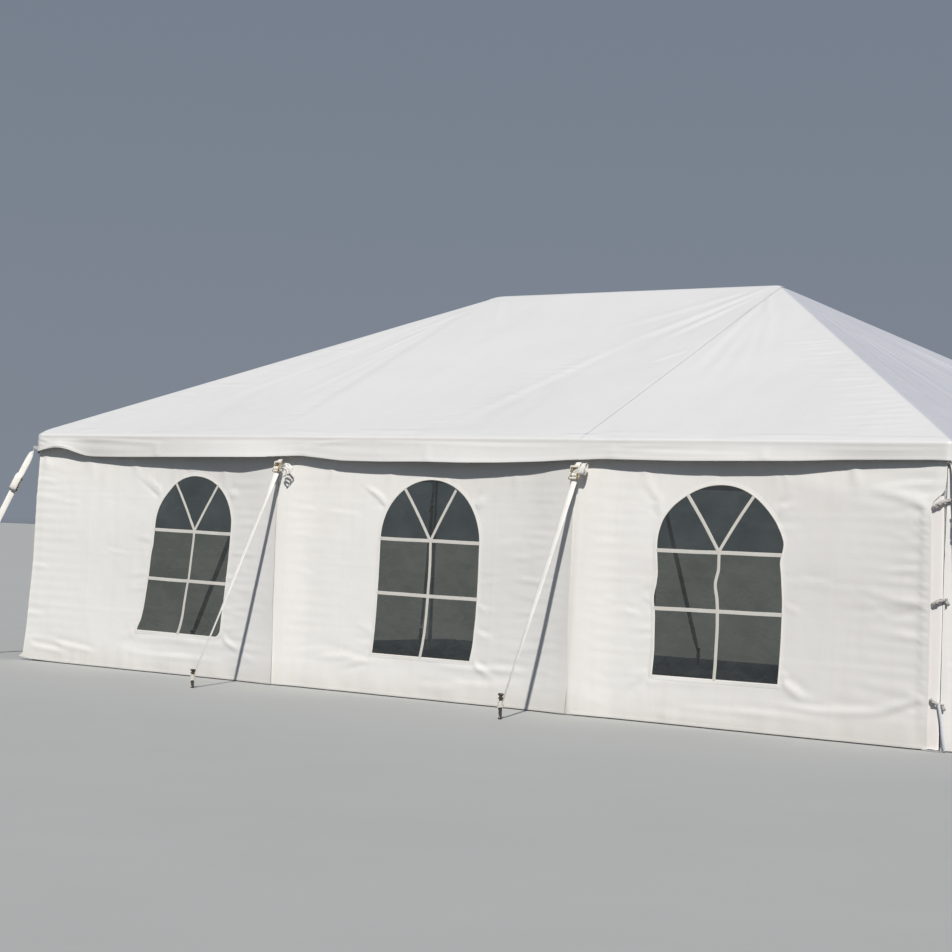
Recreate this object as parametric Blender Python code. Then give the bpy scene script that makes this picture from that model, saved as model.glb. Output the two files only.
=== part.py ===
# Frame tent (marquee) on a 20 ft x 30 ft plan: an aluminium tube frame with
# hip ends, a vinyl roof with a valance, vinyl side walls with arched windows
# on the front and on the right end, and ratchet guy straps to ground stakes.
#
# Frame: X runs along the length, the front (the long side with three windows)
# faces -Y, Z is up, and z = 0 is the ground. The origin is the centre of the
# plan at ground level. All lengths are in metres.

import math

import bmesh
import bpy
from mathutils import Matrix, Vector

# ----------------------------------------------------------------- dimensions
TUBE_R = 0.025            # 2 in frame tube
SLEEVE_R = 0.030          # cast fitting sleeve round a tube
LEG_X = 4.5375            # corner leg axis
LEG_Y = 3.015             # side leg axis
RIDGE_HALF = LEG_X - LEG_Y    # half of the ridge between the two crowns
MID_X = RIDGE_HALF        # side legs stand under the crowns
EAVE_Z = 2.1055           # axis of the eave tubes
PITCH = 0.5               # rise over run of all four roof planes
RIDGE_Z = EAVE_Z + PITCH * LEG_Y
SOCKET_BOTTOM = 1.955     # lower end of the leg socket under an eave fitting
EAVE_SLEEVE = 0.13        # length of an eave fitting's sleeves
CROWN_SLEEVE = 0.15       # length of a crown fitting's sleeves
GAP = 0.0003              # touching pieces stay this far apart

PLATE = 0.150             # base plate side
PLATE_T = 0.006
PLATE_HOLE_R = 0.009
COLLAR_R = 0.031
COLLAR_H = 0.090

ROOF_T = 0.006            # roof skin, measured square to the slope
ROOF_CLEAR = 0.031        # underside of the skin above the tube axes
EAVE_OUT = 0.083          # the skin runs this far past the eave axis
VALANCE_T = 0.008
VALANCE_BOTTOM = 1.930

WALL_T = 0.008
WALL_OUT = 0.032          # inner face of a wall outside the leg axis
WALL_TOP = 2.050
WALL_BOTTOM = PLATE_T + 0.0005    # the hem lies on the base plates
SEAM = 0.005              # half of the slit between two wall panels
WALL_LEFT = -4.560        # free edge of the front wall at the open left end
WALL_RIGHT = 4.480        # edge of the front wall beside the right corner leg
END_WALL_FRONT = -2.960   # edge of the end wall beside the same leg
END_WALL_BACK = 2.995

WINDOW_W = 1.010          # arched window: width, sill, springing line
WINDOW_SILL = 0.350
WINDOW_SPRING = 1.265
WINDOW_STEPS = 18         # facets of the half round head
WINDOW_FRONT = (-2.545, 0.108, 2.800)
WINDOW_END = (-1.480, 1.490)
PANE_T = 0.003

STRAP_W = 0.040
STRAP_T = 0.004
STAKE_R = 0.0135
STAKE_H = 0.190
GUY_MID_LEFT = 0.985      # how far from its leg axis each stake stands
GUY_MID_RIGHT = 0.910
GUY_CORNER = 0.900
GUY_END = 0.880

COS_P = 1.0 / math.sqrt(1.0 + PITCH * PITCH)

# ------------------------------------------------------------------- clean up
for old in list(bpy.data.objects):
    bpy.data.objects.remove(old, do_unlink=True)


def material(name, colour, roughness, metallic, alpha=1.0):
    mat = bpy.data.materials.new(name)
    mat.use_nodes = True
    shader = mat.node_tree.nodes["Principled BSDF"]
    shader.inputs["Base Color"].default_value = (*colour, 1.0)
    shader.inputs["Roughness"].default_value = roughness
    shader.inputs["Metallic"].default_value = metallic
    shader.inputs["Alpha"].default_value = alpha
    mat.diffuse_color = (*colour, alpha)
    return mat


ALUMINIUM = material("frame_aluminium", (0.78, 0.79, 0.80), 0.38, 0.9)
ROOF = material("roof_vinyl", (0.90, 0.91, 0.92), 0.45, 0.0)
WALL = material("wall_vinyl", (0.88, 0.88, 0.88), 0.50, 0.0)
CLEAR = material("window_vinyl", (0.80, 0.84, 0.86), 0.08, 0.0, 0.35)
WEBBING = material("strap_webbing", (0.88, 0.87, 0.84), 0.80, 0.0)


# -------------------------------------------------------------------- helpers
def new_object(name, bm, mat, smooth=True):
    """One object from a bmesh, with outward faces and its own material."""
    bmesh.ops.recalc_face_normals(bm, faces=bm.faces)
    mesh = bpy.data.meshes.new(name)
    bm.to_mesh(mesh)
    bm.free()
    mesh.materials.append(mat)
    if smooth:
        mesh.shade_smooth()
        mesh.set_sharp_from_angle(angle=math.radians(40))
    ob = bpy.data.objects.new(name, mesh)
    bpy.context.collection.objects.link(ob)
    return ob


def rod_bm(length, radius, sides=16):
    """A closed round bar on local Z from 0 to length."""
    bm = bmesh.new()
    bmesh.ops.create_cone(bm, cap_ends=True, cap_tris=False, segments=sides,
                          radius1=radius, radius2=radius, depth=length)
    bmesh.ops.translate(bm, verts=bm.verts, vec=(0, 0, length / 2))
    return bm


def aim(ob, start, end):
    """Put a piece made on local Z at start, pointing at end."""
    d = Vector(end) - Vector(start)
    ob.location = start
    ob.rotation_mode = "QUATERNION"
    ob.rotation_quaternion = Vector((0, 0, 1)).rotation_difference(d)


def rod(name, start, end, radius, mat=ALUMINIUM, sides=16, trim_a=0.0,
        trim_b=0.0):
    """A round bar between two points, shortened by a trim at either end."""
    a, b = Vector(start), Vector(end)
    d = (b - a).normalized()
    a, b = a + d * trim_a, b - d * trim_b
    ob = new_object(name, rod_bm((b - a).length, radius, sides), mat)
    aim(ob, a, b)
    return ob


def ball(name, centre, radius, mat=ALUMINIUM):
    bm = bmesh.new()
    bmesh.ops.create_uvsphere(bm, u_segments=12, v_segments=8, radius=radius)
    ob = new_object(name, bm, mat)
    ob.location = centre
    ob.rotation_euler = (0.11, 0.07, 0.05)
    return ob


def block(name, lo, hi, mat):
    bm = bmesh.new()
    bmesh.ops.create_cube(bm, size=1.0)
    size = [h - l for l, h in zip(lo, hi)]
    mid = [(l + h) / 2 for l, h in zip(lo, hi)]
    bmesh.ops.scale(bm, verts=bm.verts, vec=size)
    ob = new_object(name, bm, mat, smooth=False)
    ob.location = mid
    return ob


def prism(name, outline, depth, mat):
    """An outline in local XZ, extruded along +Y by depth."""
    bm = bmesh.new()
    verts = [bm.verts.new((x, 0, z)) for x, z in outline]
    face = bm.faces.new(verts)
    made = bmesh.ops.extrude_face_region(bm, geom=[face])
    moved = [g for g in made["geom"] if isinstance(g, bmesh.types.BMVert)]
    bmesh.ops.translate(bm, verts=moved, vec=(0, depth, 0))
    return new_object(name, bm, mat, smooth=False)


def tool(ob):
    """A piece that only shapes another one."""
    ob.hide_render = True
    ob.display_type = "WIRE"
    return ob


def combine(base, pieces, operation="UNION"):
    """Join pieces to base, or cut them from it, all in one step."""
    group = bpy.data.collections.new(base.name + "_" + operation.lower())
    for piece in pieces:
        tool(piece)
        group.objects.link(piece)
    mod = base.modifiers.new(operation.lower(), "BOOLEAN")
    mod.operation = operation
    mod.solver = "EXACT"
    mod.operand_type = "COLLECTION"
    mod.collection = group
    return base


# ------------------------------------------------------------------ the frame
def leg(name, x, y):
    """Base plate with two stake holes, its collar, and the tube up to the
    socket of the eave fitting."""
    plate = block(name, (-PLATE / 2, -PLATE / 2, 0),
                  (PLATE / 2, PLATE / 2, PLATE_T), ALUMINIUM)
    plate.location = (x, y, PLATE_T / 2)
    collar = rod(name + "_collar", (x, y, 0.002), (x, y, COLLAR_H), COLLAR_R,
                 sides=20)
    tube = rod(name + "_tube", (x, y, 0.003), (x, y, SOCKET_BOTTOM - GAP),
               TUBE_R)
    holes = [rod(name + "_hole%d" % i, (x + sx * 0.053, y + sy * 0.053, -0.01),
                 (x + sx * 0.053, y + sy * 0.053, 0.02), PLATE_HOLE_R, sides=8)
             for i, (sx, sy) in enumerate(((1, 1), (-1, -1)))]
    combine(plate, holes, "DIFFERENCE")
    return combine(plate, [collar, tube])


legs = {
    "leg_front_left": (-LEG_X, -LEG_Y), "leg_front_mid_left": (-MID_X, -LEG_Y),
    "leg_front_mid_right": (MID_X, -LEG_Y), "leg_front_right": (LEG_X, -LEG_Y),
    "leg_back_left": (-LEG_X, LEG_Y), "leg_back_mid_left": (-MID_X, LEG_Y),
    "leg_back_mid_right": (MID_X, LEG_Y), "leg_back_right": (LEG_X, LEG_Y),
    "leg_left_end": (-LEG_X, 0.0), "leg_right_end": (LEG_X, 0.0),
}
for leg_name, (lx, ly) in legs.items():
    leg(leg_name, lx, ly)


def up_slope(x, y):
    """Unit vector from an eave joint up its rafter or hip."""
    dx = 0.0 if abs(x) < LEG_X - 0.01 else -math.copysign(1.0, x)
    dy = 0.0 if abs(y) < 0.01 else -math.copysign(1.0, y)
    return Vector((dx, dy, PITCH)).normalized()


def outward(x, y):
    """Level unit vector from an eave joint towards its ground stake."""
    dx = 0.0 if abs(x) < LEG_X - 0.01 else math.copysign(1.0, x)
    dy = 0.0 if abs(y) < 0.01 else math.copysign(1.0, y)
    return Vector((dx, dy, 0.0)).normalized()


def lug_reach(x, y):
    return 0.082 if abs(x) > LEG_X - 0.01 and abs(y) > 0.01 else 0.066


def eave_joint(tag, x, y, run):
    """Sleeves of one eave fitting: along the eave, down over the leg, up the
    rafter, and the lug for the guy strap. run lists level directions."""
    c = Vector((x, y, EAVE_Z))
    up = up_slope(x, y)
    parts = [rod(tag + "_socket", (x, y, SOCKET_BOTTOM), (x, y, EAVE_Z + 0.0057),
                 SLEEVE_R + 0.0004),
             rod(tag + "_rafter", c - up * 0.0043, c + up * EAVE_SLEEVE,
                 SLEEVE_R - 0.0003)]
    first, second = Vector(run[0]), Vector(run[1])
    if first.dot(second) < -0.5:
        parts.append(rod(tag + "_run", c + second * EAVE_SLEEVE,
                         c + first * EAVE_SLEEVE, SLEEVE_R))
    else:
        parts.append(rod(tag + "_run0", c - first * 0.0071,
                         c + first * EAVE_SLEEVE, SLEEVE_R))
        parts.append(rod(tag + "_run1", c - second * 0.0083,
                         c + second * EAVE_SLEEVE, SLEEVE_R - 0.0006))
        parts.append(ball(tag + "_ball", c, SLEEVE_R + 0.0002))
    out = outward(x, y)
    lug = block(tag + "_lug", (0.020, -0.003, 1.965),
                (lug_reach(x, y), 0.003, 1.995), ALUMINIUM)
    lug.matrix_world = (Matrix.Translation((x, y, 0))
                        @ Matrix.Rotation(math.atan2(out.y, out.x), 4, "Z")
                        @ Matrix.Translation(((0.020 + lug_reach(x, y)) / 2,
                                              0, 1.980)))
    parts.append(lug)
    return parts


def side_rail(name, y):
    """Eave tube of a long side with its two corner and two side fittings."""
    rail = rod(name, (-LEG_X + 0.01, y, EAVE_Z), (LEG_X - 0.01, y, EAVE_Z),
               TUBE_R)
    inward = (0.0, -math.copysign(1.0, y), 0.0)
    parts = []
    for i, x in enumerate((-LEG_X, LEG_X)):
        along = (-math.copysign(1.0, x), 0.0, 0.0)
        parts += eave_joint("%s_corner%d" % (name, i), x, y, [along, inward])
    for i, x in enumerate((-MID_X, MID_X)):
        parts += eave_joint("%s_tee%d" % (name, i), x, y,
                            [(1.0, 0.0, 0.0), (-1.0, 0.0, 0.0)])
    return combine(rail, parts)


def end_rail(name, x):
    """Eave tube of an end, between the corner fittings, with its tee."""
    reach = LEG_Y - EAVE_SLEEVE - GAP
    rail = rod(name, (x, -reach, EAVE_Z), (x, reach, EAVE_Z), TUBE_R)
    return combine(rail, eave_joint(name + "_tee", x, 0.0,
                                    [(0.0, 1.0, 0.0), (0.0, -1.0, 0.0)]))


side_rail("eave_rail_front", -LEG_Y)
side_rail("eave_rail_back", LEG_Y)
end_rail("eave_rail_left", -LEG_X)
end_rail("eave_rail_right", LEG_X)


def crown(name, side):
    """The fitting at one end of the ridge: sleeves for the ridge, two side
    rafters, two hips and the end rafter."""
    c = Vector((side * RIDGE_HALF, 0.0, RIDGE_Z))
    body = ball(name, c, SLEEVE_R + 0.0004)
    along = Vector((-side, 0, 0))
    parts = [rod(name + "_ridge", c - along * 0.0037, c + along * CROWN_SLEEVE,
                 SLEEVE_R)]
    downs = [(0, -1), (0, 1), (side, -1), (side, 1), (side, 0)]
    for i, (dx, dy) in enumerate(downs):
        d = Vector((dx, dy, -PITCH)).normalized()
        parts.append(rod("%s_sleeve%d" % (name, i), c - d * (0.004 + 0.0007 * i),
                         c + d * CROWN_SLEEVE, SLEEVE_R - 0.0002 * (i + 1)))
    return combine(body, parts)


crown("crown_fitting_left", -1)
crown("crown_fitting_right", 1)
rod("ridge_beam", (-RIDGE_HALF, 0, RIDGE_Z), (RIDGE_HALF, 0, RIDGE_Z), TUBE_R,
    trim_a=CROWN_SLEEVE + GAP, trim_b=CROWN_SLEEVE + GAP)


def rafter(name, x, y):
    """The tube from the eave fitting at (x, y) up to its crown."""
    top = (math.copysign(RIDGE_HALF, x), 0.0, RIDGE_Z)
    return rod(name, (x, y, EAVE_Z), top, TUBE_R, trim_a=EAVE_SLEEVE + GAP,
               trim_b=CROWN_SLEEVE + GAP)


rafter("hip_front_left", -LEG_X, -LEG_Y)
rafter("hip_front_right", LEG_X, -LEG_Y)
rafter("hip_back_left", -LEG_X, LEG_Y)
rafter("hip_back_right", LEG_X, LEG_Y)
rafter("rafter_front_left", -MID_X, -LEG_Y)
rafter("rafter_front_right", MID_X, -LEG_Y)
rafter("rafter_back_left", -MID_X, LEG_Y)
rafter("rafter_back_right", MID_X, LEG_Y)
rafter("rafter_left_end", -LEG_X, 0.0)
rafter("rafter_right_end", LEG_X, 0.0)

# ------------------------------------------------------------------- the roof
EDGE_X = LEG_X + EAVE_OUT
EDGE_Y = LEG_Y + EAVE_OUT
SKIN_LOW = ROOF_CLEAR / COS_P          # underside, straight above the axes
SKIN_HIGH = (ROOF_CLEAR + ROOF_T) / COS_P


def axis_height(x, y):
    """Height of the roof's axis planes above a point of the plan."""
    fall = max(abs(y), abs(x) - RIDGE_HALF)
    return RIDGE_Z - PITCH * fall


def skin(name, plan):
    """One roof plane: a thin slab over a corner list of the plan."""
    bm = bmesh.new()
    low = [bm.verts.new((x, y, axis_height(x, y) + SKIN_LOW)) for x, y in plan]
    high = [bm.verts.new((x, y, axis_height(x, y) + SKIN_HIGH))
            for x, y in plan]
    bm.faces.new(low[::-1])
    bm.faces.new(high)
    for i in range(len(plan)):
        j = (i + 1) % len(plan)
        bm.faces.new((low[i], low[j], high[j], high[i]))
    return new_object(name, bm, ROOF, smooth=False)


H = 0.0004   # half of the slit between two roof planes
skin("roof_front", [(-EDGE_X + H, -EDGE_Y), (EDGE_X - H, -EDGE_Y),
                    (RIDGE_HALF - H, -H / 2), (-RIDGE_HALF + H, -H / 2)])
skin("roof_back", [(EDGE_X - H, EDGE_Y), (-EDGE_X + H, EDGE_Y),
                   (-RIDGE_HALF + H, H / 2), (RIDGE_HALF - H, H / 2)])
skin("roof_left_end", [(-EDGE_X, EDGE_Y - H), (-EDGE_X, -EDGE_Y + H),
                       (-RIDGE_HALF - H, 0.0)])
skin("roof_right_end", [(EDGE_X, -EDGE_Y + H), (EDGE_X, EDGE_Y - H),
                        (RIDGE_HALF + H, 0.0)])

VALANCE_TOP = axis_height(0.0, EDGE_Y) + SKIN_LOW - GAP
for side, tag in ((-1, "front"), (1, "back")):
    ys = sorted((side * EDGE_Y, side * (EDGE_Y - VALANCE_T)))
    block("valance_" + tag, (-EDGE_X, ys[0], VALANCE_BOTTOM),
          (EDGE_X, ys[1], VALANCE_TOP), ROOF)
for side, tag in ((-1, "left"), (1, "right")):
    xs = sorted((side * EDGE_X, side * (EDGE_X - VALANCE_T)))
    reach = EDGE_Y - VALANCE_T - GAP
    block("valance_" + tag, (xs[0], -reach, VALANCE_BOTTOM),
          (xs[1], reach, VALANCE_TOP), ROOF)


# ------------------------------------------------------------------ the walls
def arch(centre, shrink=0.0):
    """Outline of an arched window in a wall's own plane."""
    r = WINDOW_W / 2 - shrink
    pts = [(centre - r, WINDOW_SILL + shrink), (centre + r, WINDOW_SILL + shrink)]
    for i in range(WINDOW_STEPS + 1):
        t = math.pi * i / WINDOW_STEPS
        pts.append((centre + r * math.cos(t), WINDOW_SPRING + r * math.sin(t)))
    return pts


def wall(name, lo, hi, centre, face, turn=None):
    """A wall panel from lo to hi along its length, with one arched window
    cut through, and the clear sheet that fills the window."""
    outline = [(lo, WALL_BOTTOM), (hi, WALL_BOTTOM), (hi, WALL_TOP),
               (lo, WALL_TOP)]
    panel = prism("wall_" + name, outline, WALL_T, WALL)
    cut = prism("wall_" + name + "_cut", arch(centre), WALL_T + 0.04, WALL)
    pane = prism("window_" + name, arch(centre, GAP), PANE_T, CLEAR)
    offset = (WALL_T - PANE_T) / 2
    if turn is None:
        # faces -Y: local Y runs from the outer face inwards
        panel.location = (0, face, 0)
        cut.location = (0, face - 0.02, 0)
        pane.location = (0, face + offset, 0)
    else:
        # faces +X: the panel's length runs along world Y
        for ob, out in ((panel, 0.0), (cut, 0.02), (pane, -offset)):
            ob.rotation_euler = (0, 0, math.radians(90))
            ob.location = (face + out, 0, 0)
    combine(panel, [cut], "DIFFERENCE")


FRONT_FACE = -(LEG_Y + WALL_OUT + WALL_T)
END_FACE = LEG_X + WALL_OUT + WALL_T
wall("front_left", WALL_LEFT, -MID_X - SEAM, WINDOW_FRONT[0], FRONT_FACE)
wall("front_middle", -MID_X + SEAM, MID_X - SEAM, WINDOW_FRONT[1], FRONT_FACE)
wall("front_right", MID_X + SEAM, WALL_RIGHT, WINDOW_FRONT[2], FRONT_FACE)
wall("end_front", END_WALL_FRONT, -SEAM, WINDOW_END[0], END_FACE, turn=True)
wall("end_back", SEAM, END_WALL_BACK, WINDOW_END[1], END_FACE, turn=True)


# ------------------------------------------------------------- the guy straps
def guy(name, x, y, reach):
    """A strap from under the fitting's lug through its ratchet to a ground
    stake. Local X points outwards from the leg."""
    out = outward(x, y)
    top = lug_reach(x, y) - 0.008
    frame = (Matrix.Translation((x, y, 0))
             @ Matrix.Rotation(math.atan2(out.y, out.x), 4, "Z"))
    bend = Vector((top + 0.002, 1.915))
    foot = Vector((reach - 0.004, 0.135))
    run = (foot - bend).normalized()
    side = Vector((-run.y, run.x)) * (STRAP_T / 2)
    t = STRAP_T / 2
    head = 1.965 - GAP
    outline = [(top + t, head), (bend.x + t * 0.98, bend.y + 0.001),
               tuple(foot + side), tuple(foot - side),
               (bend.x - t * 0.98, bend.y - 0.002), (top - t, head)]
    strap = prism(name, outline, STRAP_W, WEBBING)
    strap.matrix_world = frame @ Matrix.Translation((0, -STRAP_W / 2, 0))

    corner = lug_reach(x, y) > 0.07
    at = bend + run * (0.300 if corner else 0.065)
    ratchet = block(name + "_ratchet", (-0.050, -0.029, -0.019),
                    (0.050, 0.029, 0.019), WEBBING)
    angle = math.atan2(-run.y, run.x)
    ratchet.matrix_world = (frame @ Matrix.Translation((at.x, 0, at.y))
                            @ Matrix.Rotation(angle, 4, "Y"))
    stake = rod(name + "_stake", (0, 0, 0), (0, 0, STAKE_H - 0.010), STAKE_R,
                WEBBING, sides=14)
    stake.matrix_world = frame @ Matrix.Translation((reach, 0, 0))
    cap = rod(name + "_cap", (0, 0, 0), (0, 0, 0.024), 0.0215, WEBBING,
              sides=14)
    cap.matrix_world = frame @ Matrix.Translation((reach, 0, STAKE_H - 0.024))
    return combine(strap, [ratchet, stake, cap])


guys = {"front_left": GUY_CORNER, "front_right": GUY_CORNER,
        "back_left": GUY_CORNER, "back_right": GUY_CORNER,
        "front_mid_left": GUY_MID_LEFT, "front_mid_right": GUY_MID_RIGHT,
        "back_mid_left": GUY_MID_LEFT, "back_mid_right": GUY_MID_RIGHT,
        "left_end": GUY_END, "right_end": GUY_END}
for guy_name, guy_reach in guys.items():
    gx, gy = legs["leg_" + guy_name]
    guy("guy_" + guy_name, gx, gy, guy_reach)
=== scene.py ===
import math

import bmesh
import bpy
import numpy as np
from mathutils import Matrix, Vector, geometry


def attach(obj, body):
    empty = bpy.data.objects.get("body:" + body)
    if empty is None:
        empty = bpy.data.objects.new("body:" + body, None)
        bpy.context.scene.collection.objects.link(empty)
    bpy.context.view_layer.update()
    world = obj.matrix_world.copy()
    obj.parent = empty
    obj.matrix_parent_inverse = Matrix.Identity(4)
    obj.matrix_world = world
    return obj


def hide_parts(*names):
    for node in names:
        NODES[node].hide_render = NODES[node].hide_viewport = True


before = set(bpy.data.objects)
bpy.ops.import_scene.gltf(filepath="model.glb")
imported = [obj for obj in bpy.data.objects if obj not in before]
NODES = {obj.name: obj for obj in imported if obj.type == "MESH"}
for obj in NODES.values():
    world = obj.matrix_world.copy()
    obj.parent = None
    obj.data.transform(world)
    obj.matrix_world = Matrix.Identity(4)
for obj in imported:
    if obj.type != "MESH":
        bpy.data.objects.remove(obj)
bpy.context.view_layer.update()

# ------------------------------------------------------------ dimensions (CAD)
LEG_X, LEG_Y, MID_X = 4.5375, 3.015, 1.5225
EAVE_Z, PITCH = 2.1055, 0.5
RIDGE_Z = EAVE_Z + PITCH * LEG_Y
EDGE_X, EDGE_Y = LEG_X + 0.083, LEG_Y + 0.083
WALL_Y, WALL_X = -3.0515, 4.5735          # mid surface of the hung walls
WALL_TOP, WALL_LOW = 2.046, 0.007
COS_P = 1.0 / math.sqrt(1.0 + PITCH * PITCH)
SCENE = bpy.context.scene


# ----------------------------------------------------------------- small tools
def smooth(a, b, t):
    t = np.clip((np.asarray(t, float) - a) / (b - a), 0.0, 1.0)
    return t * t * (3 - 2 * t)


class Ripple:
    """Seeded gradient noise over a plane, about -0.7 to 0.7."""

    def __init__(self, seed):
        rs = np.random.RandomState(seed)
        self.p = rs.permutation(512)
        a = rs.uniform(0, 2 * math.pi, 512)
        self.g = np.stack([np.cos(a), np.sin(a)], -1)

    def __call__(self, x, y):
        x, y = np.broadcast_arrays(np.asarray(x, float), np.asarray(y, float))
        xi, yi = np.floor(x).astype(int), np.floor(y).astype(int)
        xf, yf = x - xi, y - yi

        def corner(i, j):
            h = self.p[(self.p[(xi + i) & 511] + yi + j) & 511]
            g = self.g[h]
            return g[..., 0] * (xf - i) + g[..., 1] * (yf - j)

        u = xf * xf * xf * (xf * (xf * 6 - 15) + 10)
        v = yf * yf * yf * (yf * (yf * 6 - 15) + 10)
        low = corner(0, 0) * (1 - u) + corner(1, 0) * u
        high = corner(0, 1) * (1 - u) + corner(1, 1) * u
        return low * (1 - v) + high * v


def crease(P, out, a, b, width, amp, bow=0.0, kind="ridge", ends=(0.2, 0.3),
           grow=0.0):
    """Adds one wrinkle along a -> b on points P (n, 2) to the heights out."""
    a, b = np.asarray(a, float), np.asarray(b, float)
    d = b - a
    length = math.hypot(*d)
    d = d / length
    n = np.array([-d[1], d[0]])
    q = P - a
    t = (q @ d) / length
    s = q @ n - bow * 4 * t * (1 - t)
    w = width * (1 + grow * np.clip(t, 0, 1))
    m = (t > 0) & (t < 1) & (np.abs(s) < 3.2 * w)
    if not m.any():
        return
    u, tt = s[m] / w[m], t[m]
    if kind == "ridge":
        prof = np.exp(-u * u)
    elif kind == "fold":
        prof = -2.33 * u * np.exp(-u * u) * 0.5
    else:                                   # "lip": ridge with a valley beside
        prof = np.exp(-u * u) - 0.7 * np.exp(-(u - 1.5) ** 2)
    k = smooth(0, ends[0], tt) * smooth(0, ends[1], 1 - tt)
    out[m] += amp * prof * k


def build(name, verts, groups, mats, body="root", slot=None, smooth_faces=True,
          uv=None, slots_of=None, sharp=None):
    """A mesh object from an array of points and groups of equal-sided faces."""
    v = np.asarray(verts, np.float32).reshape(-1, 3)
    groups = [np.asarray(g, np.int32) for g in groups if len(g)]
    loops = np.concatenate([g.ravel() for g in groups])
    totals = np.concatenate([np.full(len(g), g.shape[1], np.int32)
                             for g in groups])
    starts = np.concatenate([[0], np.cumsum(totals)[:-1]]).astype(np.int32)
    me = bpy.data.meshes.new(name)
    me.vertices.add(len(v))
    me.vertices.foreach_set("co", v.ravel())
    me.loops.add(len(loops))
    me.loops.foreach_set("vertex_index", loops)
    me.polygons.add(len(totals))
    me.polygons.foreach_set("loop_start", starts)
    if slots_of is not None:
        me.polygons.foreach_set("material_index",
                                np.asarray(slots_of, np.int32))
    me.polygons.foreach_set("use_smooth",
                            np.full(len(totals), bool(smooth_faces)))
    me.update(calc_edges=True)
    if uv is not None:
        layer = me.uv_layers.new(name="UVMap")
        layer.data.foreach_set("uv", np.asarray(uv, np.float32)[loops].ravel())
    me.validate()
    if sharp is not None:
        me.set_sharp_from_angle(angle=math.radians(sharp))
    for m in (mats if isinstance(mats, (list, tuple)) else [mats]):
        me.materials.append(m)
    ob = bpy.data.objects.new(name, me)
    SCENE.collection.objects.link(ob)
    if body:
        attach(ob, body)
    return ob


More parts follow.
